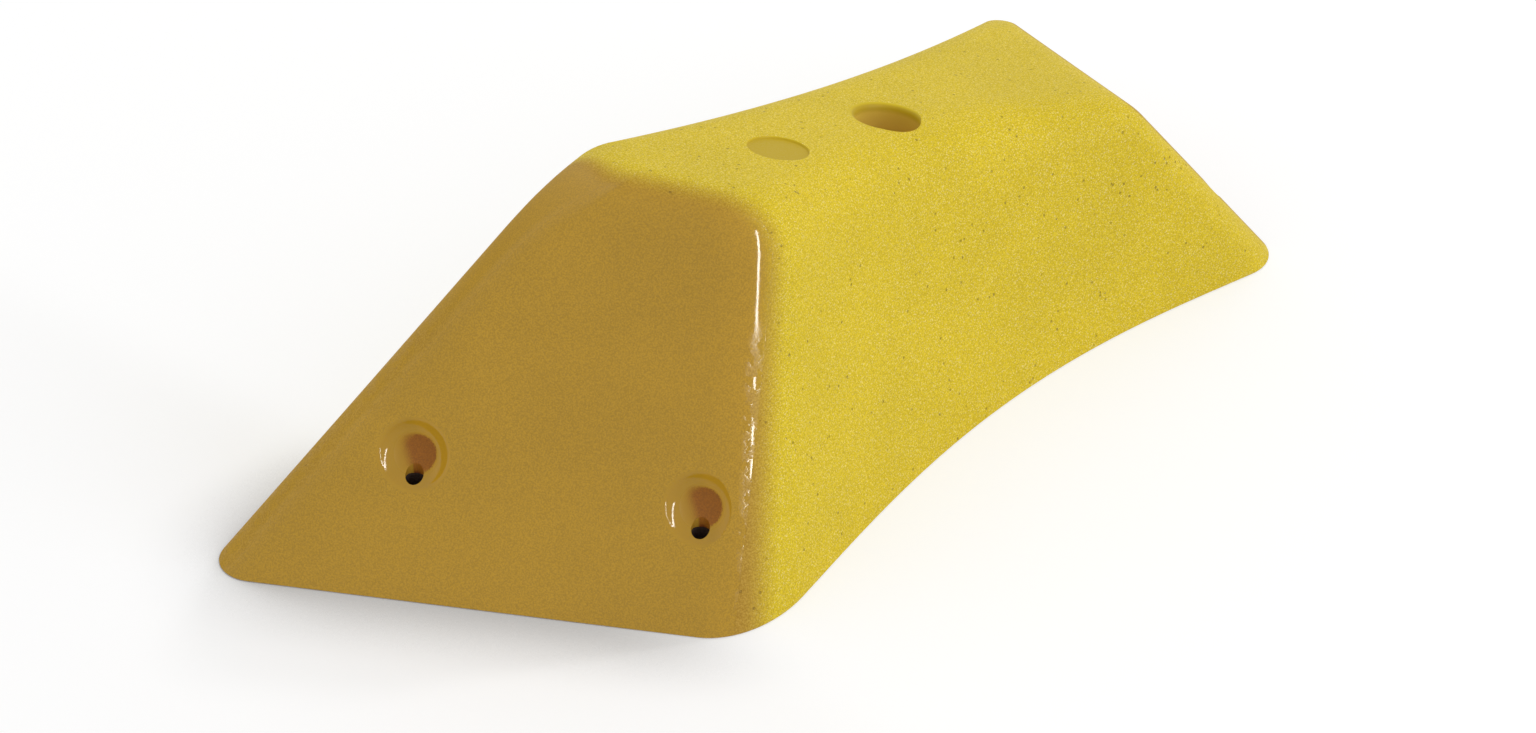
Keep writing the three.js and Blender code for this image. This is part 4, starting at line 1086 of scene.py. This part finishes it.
class VOLUME_OT_frame_screws(bpy.types.Operator):
    """Makes the countersunk wood screws that hold the back frame together"""
    bl_idname = "volume.frame_screws"
    bl_label = "Frame screws"

    def execute(self, context):
        shape = context.scene.volume_shape
        material = steel_material("yellow_zinc_screws", "#c8b27a", "#9c8a5c", 0.25, 0.42)
        tree = self.tree()
        points = bpy.data.meshes.new("screw_places")
        boxes = [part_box(name) for name in SCREW_NODES]
        points.from_pydata([((low.x + high.x) / 2, (low.y + high.y) / 2, high.z)
                            for low, high in boxes], [], [])
        lengths = points.attributes.new("length", "FLOAT", "POINT")
        for i, (low, high) in enumerate(boxes):
            lengths.data[i].value = high.z - low.z
        source = bpy.data.objects.new("screw_places", points)
        context.scene.collection.objects.link(source)
        grown = source.modifiers.new("screws", "NODES")
        grown.node_group = tree
        values = {"Head Radius": shape.screw_head, "Shank Radius": shape.screw_shank,
                  "Head Depth": 2.6 * MM, "Drive Radius": 0.52 * shape.screw_head,
                  "Material": material}
        for item in tree.interface.items_tree:
            if item.in_out == "INPUT" and item.name in values:
                grown[item.identifier] = values[item.name]
        screws = baked(source, "countersunk_frame_screws")
        discard(source)
        carried(screws, "screw_steel", *SCREW_NODES)
        return {"FINISHED"}

    def tree(self):
        """Each point grows a countersunk head with a six-pointed recess, a shank and a tip."""
        tree = bpy.data.node_groups.new("Countersunk screws", "GeometryNodeTree")
        sockets = [("Geometry", "INPUT", "NodeSocketGeometry"),
                   ("Head Radius", "INPUT", "NodeSocketFloat"),
                   ("Shank Radius", "INPUT", "NodeSocketFloat"),
                   ("Head Depth", "INPUT", "NodeSocketFloat"),
                   ("Drive Radius", "INPUT", "NodeSocketFloat"),
                   ("Material", "INPUT", "NodeSocketMaterial"),
                   ("Geometry", "OUTPUT", "NodeSocketGeometry")]
        for name, way, kind in sockets:
            tree.interface.new_socket(name, in_out=way, socket_type=kind)
        given = node(tree, "NodeGroupInput").outputs
        depth, radius = given["Head Depth"], given["Head Radius"]
        cone = node(tree, "GeometryNodeMeshCone",
                    {"Vertices": 40, "Radius Top": radius,
                     "Radius Bottom": given["Shank Radius"], "Depth": depth})
        down = maths(tree, "MULTIPLY", depth, -1.0)
        low = node(tree, "ShaderNodeCombineXYZ", {2: down}).outputs[0]
        head = node(tree, "GeometryNodeTransform", {"Geometry": cone.outputs["Mesh"],
                                                    "Translation": low})
        star = node(tree, "GeometryNodeCurveStar",
                    {"Points": 6, "Inner Radius": maths(tree, "MULTIPLY",
                                                        given["Drive Radius"], 0.68),
                     "Outer Radius": given["Drive Radius"], "Twist": 0.0})
        filled = node(tree, "GeometryNodeFillCurve", {"Curve": star.outputs["Curve"]})
        pushed = node(tree, "GeometryNodeExtrudeMesh",
                      {"Mesh": filled.outputs[0], "Offset Scale": depth,
                       "Individual": False})
        both = node(tree, "GeometryNodeJoinGeometry")
        tree.links.new(pushed.outputs["Mesh"], both.inputs[0])
        flipped = node(tree, "GeometryNodeFlipFaces", {"Mesh": filled.outputs[0]})
        tree.links.new(flipped.outputs[0], both.inputs[0])
        plug = node(tree, "GeometryNodeMergeByDistance",
                    {"Geometry": both.outputs[0], "Distance": 0.000005})
        sunk = node(tree, "ShaderNodeCombineXYZ",
                    {2: maths(tree, "MULTIPLY", depth, -0.62)}).outputs[0]
        placed = node(tree, "GeometryNodeTransform", {"Geometry": plug.outputs[0],
                                                      "Translation": sunk})
        driven = node(tree, "GeometryNodeMeshBoolean", operation="DIFFERENCE",
                      solver="EXACT")
        tree.links.new(head.outputs[0], driven.inputs["Mesh 1"])
        tree.links.new(placed.outputs[0], driven.inputs["Mesh 2"])
        heads = node(tree, "GeometryNodeInstanceOnPoints",
                     {"Points": given["Geometry"], "Instance": driven.outputs["Mesh"]})
        length = node(tree, "GeometryNodeInputNamedAttribute", {"Name": "length"},
                      data_type="FLOAT").outputs["Attribute"]
        tip = maths(tree, "MULTIPLY", given["Shank Radius"], 1.6)
        bar = node(tree, "GeometryNodeMeshCylinder",
                   {"Vertices": 24, "Radius": given["Shank Radius"], "Depth": 1.0})
        half = node(tree, "ShaderNodeCombineXYZ", {2: -0.5}).outputs[0]
        hung = node(tree, "GeometryNodeTransform", {"Geometry": bar.outputs["Mesh"],
                                                    "Translation": half})
        span = maths(tree, "SUBTRACT", maths(tree, "SUBTRACT", length, depth), tip)
        stretch = node(tree, "ShaderNodeCombineXYZ", {0: 1.0, 1: 1.0, 2: span}).outputs[0]
        shank_points = node(tree, "GeometryNodeSetPosition",
                            {"Geometry": given["Geometry"], "Offset": low})
        shanks = node(tree, "GeometryNodeInstanceOnPoints",
                      {"Points": shank_points.outputs[0], "Instance": hung.outputs[0],
                       "Scale": stretch})
        point = node(tree, "GeometryNodeMeshCone",
                     {"Vertices": 24, "Radius Top": given["Shank Radius"],
                      "Radius Bottom": 0.0, "Depth": tip})
        tip_fall = maths(tree, "MULTIPLY", length, -1.0)
        tip_place = node(tree, "ShaderNodeCombineXYZ", {2: tip_fall}).outputs[0]
        tip_points = node(tree, "GeometryNodeSetPosition",
                          {"Geometry": given["Geometry"], "Offset": tip_place})
        tips = node(tree, "GeometryNodeInstanceOnPoints",
                    {"Points": tip_points.outputs[0], "Instance": point.outputs["Mesh"]})
        joined = node(tree, "GeometryNodeJoinGeometry")
        for part in (heads, shanks, tips):
            tree.links.new(part.outputs[0], joined.inputs[0])
        real = node(tree, "GeometryNodeRealizeInstances", {0: joined.outputs[0]})
        painted = node(tree, "GeometryNodeSetMaterial", {"Geometry": real.outputs[0],
                                                         "Material": given["Material"]})
        node(tree, "NodeGroupOutput", {0: painted.outputs[0]})
        return tree


class VOLUME_OT_finish_frame(bpy.types.Operator):
    """Gives the plywood frame and the glass tapes their materials"""
    bl_idname = "volume.finish_frame"
    bl_label = "Back frame finishes"

    def execute(self, context):
        finish = context.scene.volume_finish
        plywood = plywood_material("raw_birch_plywood", finish)
        tape = tape_material("resin_wetted_glass_tape")
        for names, material in ((PLYWOOD_NODES, plywood), (TAPE_NODES, tape)):
            for name in names:
                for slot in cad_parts[name].material_slots:
                    slot.material = material
        return {"FINISHED"}


class VOLUME_OT_studio(bpy.types.Operator):
    """Makes the floor, the lamps, the sky and the camera"""
    bl_idname = "volume.studio"
    bl_label = "Studio"

    def execute(self, context):
        studio = context.scene.volume_studio
        self.floor(studio.floor_size)
        self.sky(context.scene, studio.sky)
        key = self.lamp("key", (0.75, -0.19, 0.634), 6.0, (0.5, 0.5), 0, studio.key_power)
        key.visible_glossy = False
        front = self.lamp("front", (0.22, -0.90, 0.38), 3.0, (2.2, 2.2), 0,
                          studio.front_power)
        front.visible_glossy = False
        strip = self.lamp("strip", (0.08, -0.92, 0.38), 2.9, (0.15, 2.7), 31,
                          studio.strip_power)
        strip.visible_diffuse = False
        self.camera(context.scene, studio.lens)
        context.scene.view_settings.view_transform = "Standard"
        return {"FINISHED"}

    def floor(self, width):
        """A white floor. Where the camera or a gloss sees it, the contact shadow is deepened
        along the near end, and a glow keeps it white elsewhere."""
        mesh = bmesh.new()
        bmesh.ops.create_grid(mesh, x_segments=8, y_segments=8, size=width / 2)
        for vert in mesh.verts:
            vert.co.z = -0.2 * MM
        material = bpy.data.materials.new("white_studio_floor")
        material.use_nodes = True
        tree = material.node_tree
        tree.nodes.clear()
        paint = node(tree, "ShaderNodeBsdfDiffuse", {"Color": (0.8, 0.8, 0.8, 1)})
        open_sky = node(tree, "ShaderNodeAmbientOcclusion", {"Distance": 45 * MM}, samples=8)
        place = node(tree, "ShaderNodeSeparateXYZ", {0: object_place(tree)})
        past_near_end = shaped(tree, place.outputs[0], -200 * MM, -130 * MM)
        white = shaped(tree, past_near_end, 0, 1, 0.96, 0.58)
        dark = shaped(tree, past_near_end, 0, 1, 0.46, 0.58)
        grey = shaped(tree, open_sky.outputs["AO"], 0.72, 1.0, dark, white, smooth=False)
        shade = node(tree, "ShaderNodeCombineXYZ", {0: grey, 1: grey, 2: grey})
        shaded = node(tree, "ShaderNodeBsdfDiffuse", {"Color": shade.outputs[0]})
        glow = node(tree, "ShaderNodeEmission",
                    {"Color": (1, 1, 1, 1),
                     "Strength": shaped(tree, past_near_end, 0, 1, 0.10, 0.47)})
        lit = node(tree, "ShaderNodeAddShader", {0: shaded.outputs[0], 1: glow.outputs[0]})
        both = node(tree, "ShaderNodeMixShader", {0: self.seen(tree), 1: paint.outputs[0],
                                                  2: lit.outputs[0]})
        node(tree, "ShaderNodeOutputMaterial", {"Surface": both.outputs[0]})
        mesh_object("studio_floor", mesh, [material])

    def sky(self, scene, strength):
        """Even light from all round, which the camera and gloss see as white."""
        world = bpy.data.worlds.new("studio_sky")
        world.use_nodes = True
        tree = world.node_tree
        tree.nodes.clear()
        light = node(tree, "ShaderNodeBackground", {"Color": (1, 1, 1, 1),
                                                    "Strength": strength})
        white = node(tree, "ShaderNodeBackground", {"Color": (1, 1, 1, 1), "Strength": 1.0})
        both = node(tree, "ShaderNodeMixShader", {0: self.seen(tree), 1: light.outputs[0],
                                                  2: white.outputs[0]})
        node(tree, "ShaderNodeOutputWorld", {"Surface": both.outputs[0]})
        scene.world = world

    def seen(self, tree):
        """Whether the ray is one that shows the background, straight or in gloss or glass."""
        rays = node(tree, "ShaderNodeLightPath").outputs
        mirrored = maths(tree, "MAXIMUM", rays["Is Glossy Ray"], rays["Is Transmission Ray"])
        return maths(tree, "MAXIMUM", rays["Is Camera Ray"], mirrored)

    def lamp(self, name, direction, distance, size, lean, power):
        """An even lamp in a direction from the volume's middle, turned to face it. A lean in
        degrees tips its top over towards +X."""
        data = bpy.data.lights.new(name, "AREA")
        data.shape = "RECTANGLE"
        data.size, data.size_y = size
        data.energy = power
        lamp = bpy.data.objects.new(name, data)
        place = Vector(direction).normalized() * distance + Vector((0, 0, 0.07))
        lamp.matrix_world = (Matrix.Translation(place)
                             @ Vector(direction).to_track_quat("Z", "Y").to_matrix().to_4x4()
                             @ Matrix.Rotation(math.radians(-lean), 4, "Z"))
        bpy.context.scene.collection.objects.link(lamp)
        return lamp

    def camera(self, scene, lens):
        """The camera that was fitted to the volume's corners."""
        azimuth, elevation, roll = (math.radians(a) for a in (-49.3003, 33.8112, -0.8042))
        back = Vector((math.sin(azimuth) * math.cos(elevation),
                       -math.cos(azimuth) * math.cos(elevation), math.sin(elevation)))
        right = Vector((math.cos(azimuth), math.sin(azimuth), 0))
        up = back.cross(right)
        turned_right = right * math.cos(roll) + up * math.sin(roll)
        turned_up = up * math.cos(roll) - right * math.sin(roll)
        place = Vector((82.417, 95.299, -81.719)) * MM + back * 1854.253 * MM
        data = bpy.data.cameras.new("camera")
        data.lens = lens
        data.sensor_width = 36
        camera = bpy.data.objects.new("camera", data)
        turn = Matrix((turned_right, turned_up, back)).transposed().to_4x4()
        camera.matrix_world = Matrix.Translation(place) @ turn
        scene.collection.objects.link(camera)
        scene.camera = camera


class VOLUME_PT_panel(bpy.types.Panel):
    """Lists the steps and settings of the climbing volume"""
    bl_idname = "VOLUME_PT_panel"
    bl_label = "Climbing volume"
    bl_space_type = "VIEW_3D"
    bl_region_type = "UI"
    bl_category = "Volume"

    def draw(self, context):
        layout = self.layout
        for settings in ("volume_shape", "volume_finish", "volume_studio"):
            group = getattr(context.scene, settings)
            box = layout.box()
            for name in group.__annotations__:
                box.prop(group, name)
        for operator in OPERATORS:
            layout.operator(operator.bl_idname)


SETTINGS = {"volume_shape": VolumeShape, "volume_finish": VolumeFinish,
            "volume_studio": VolumeStudio}
OPERATORS = (VOLUME_OT_shell, VOLUME_OT_washer, VOLUME_OT_frame_screws,
             VOLUME_OT_finish_frame, VOLUME_OT_studio)


def register():
    for group in (*SETTINGS.values(), *OPERATORS, VOLUME_PT_panel):
        bpy.utils.register_class(group)
    for name, group in SETTINGS.items():
        setattr(bpy.types.Scene, name, PointerProperty(type=group))


def unregister():
    for name in SETTINGS:
        delattr(bpy.types.Scene, name)
    for group in reversed((*SETTINGS.values(), *OPERATORS, VOLUME_PT_panel)):
        bpy.utils.unregister_class(group)


def main():
    register()
    bpy.ops.volume.shell()
    bpy.ops.volume.washer()
    bpy.ops.volume.frame_screws()
    bpy.ops.volume.finish_frame()
    bpy.ops.volume.studio()


if __name__ == "__main__":
    main()
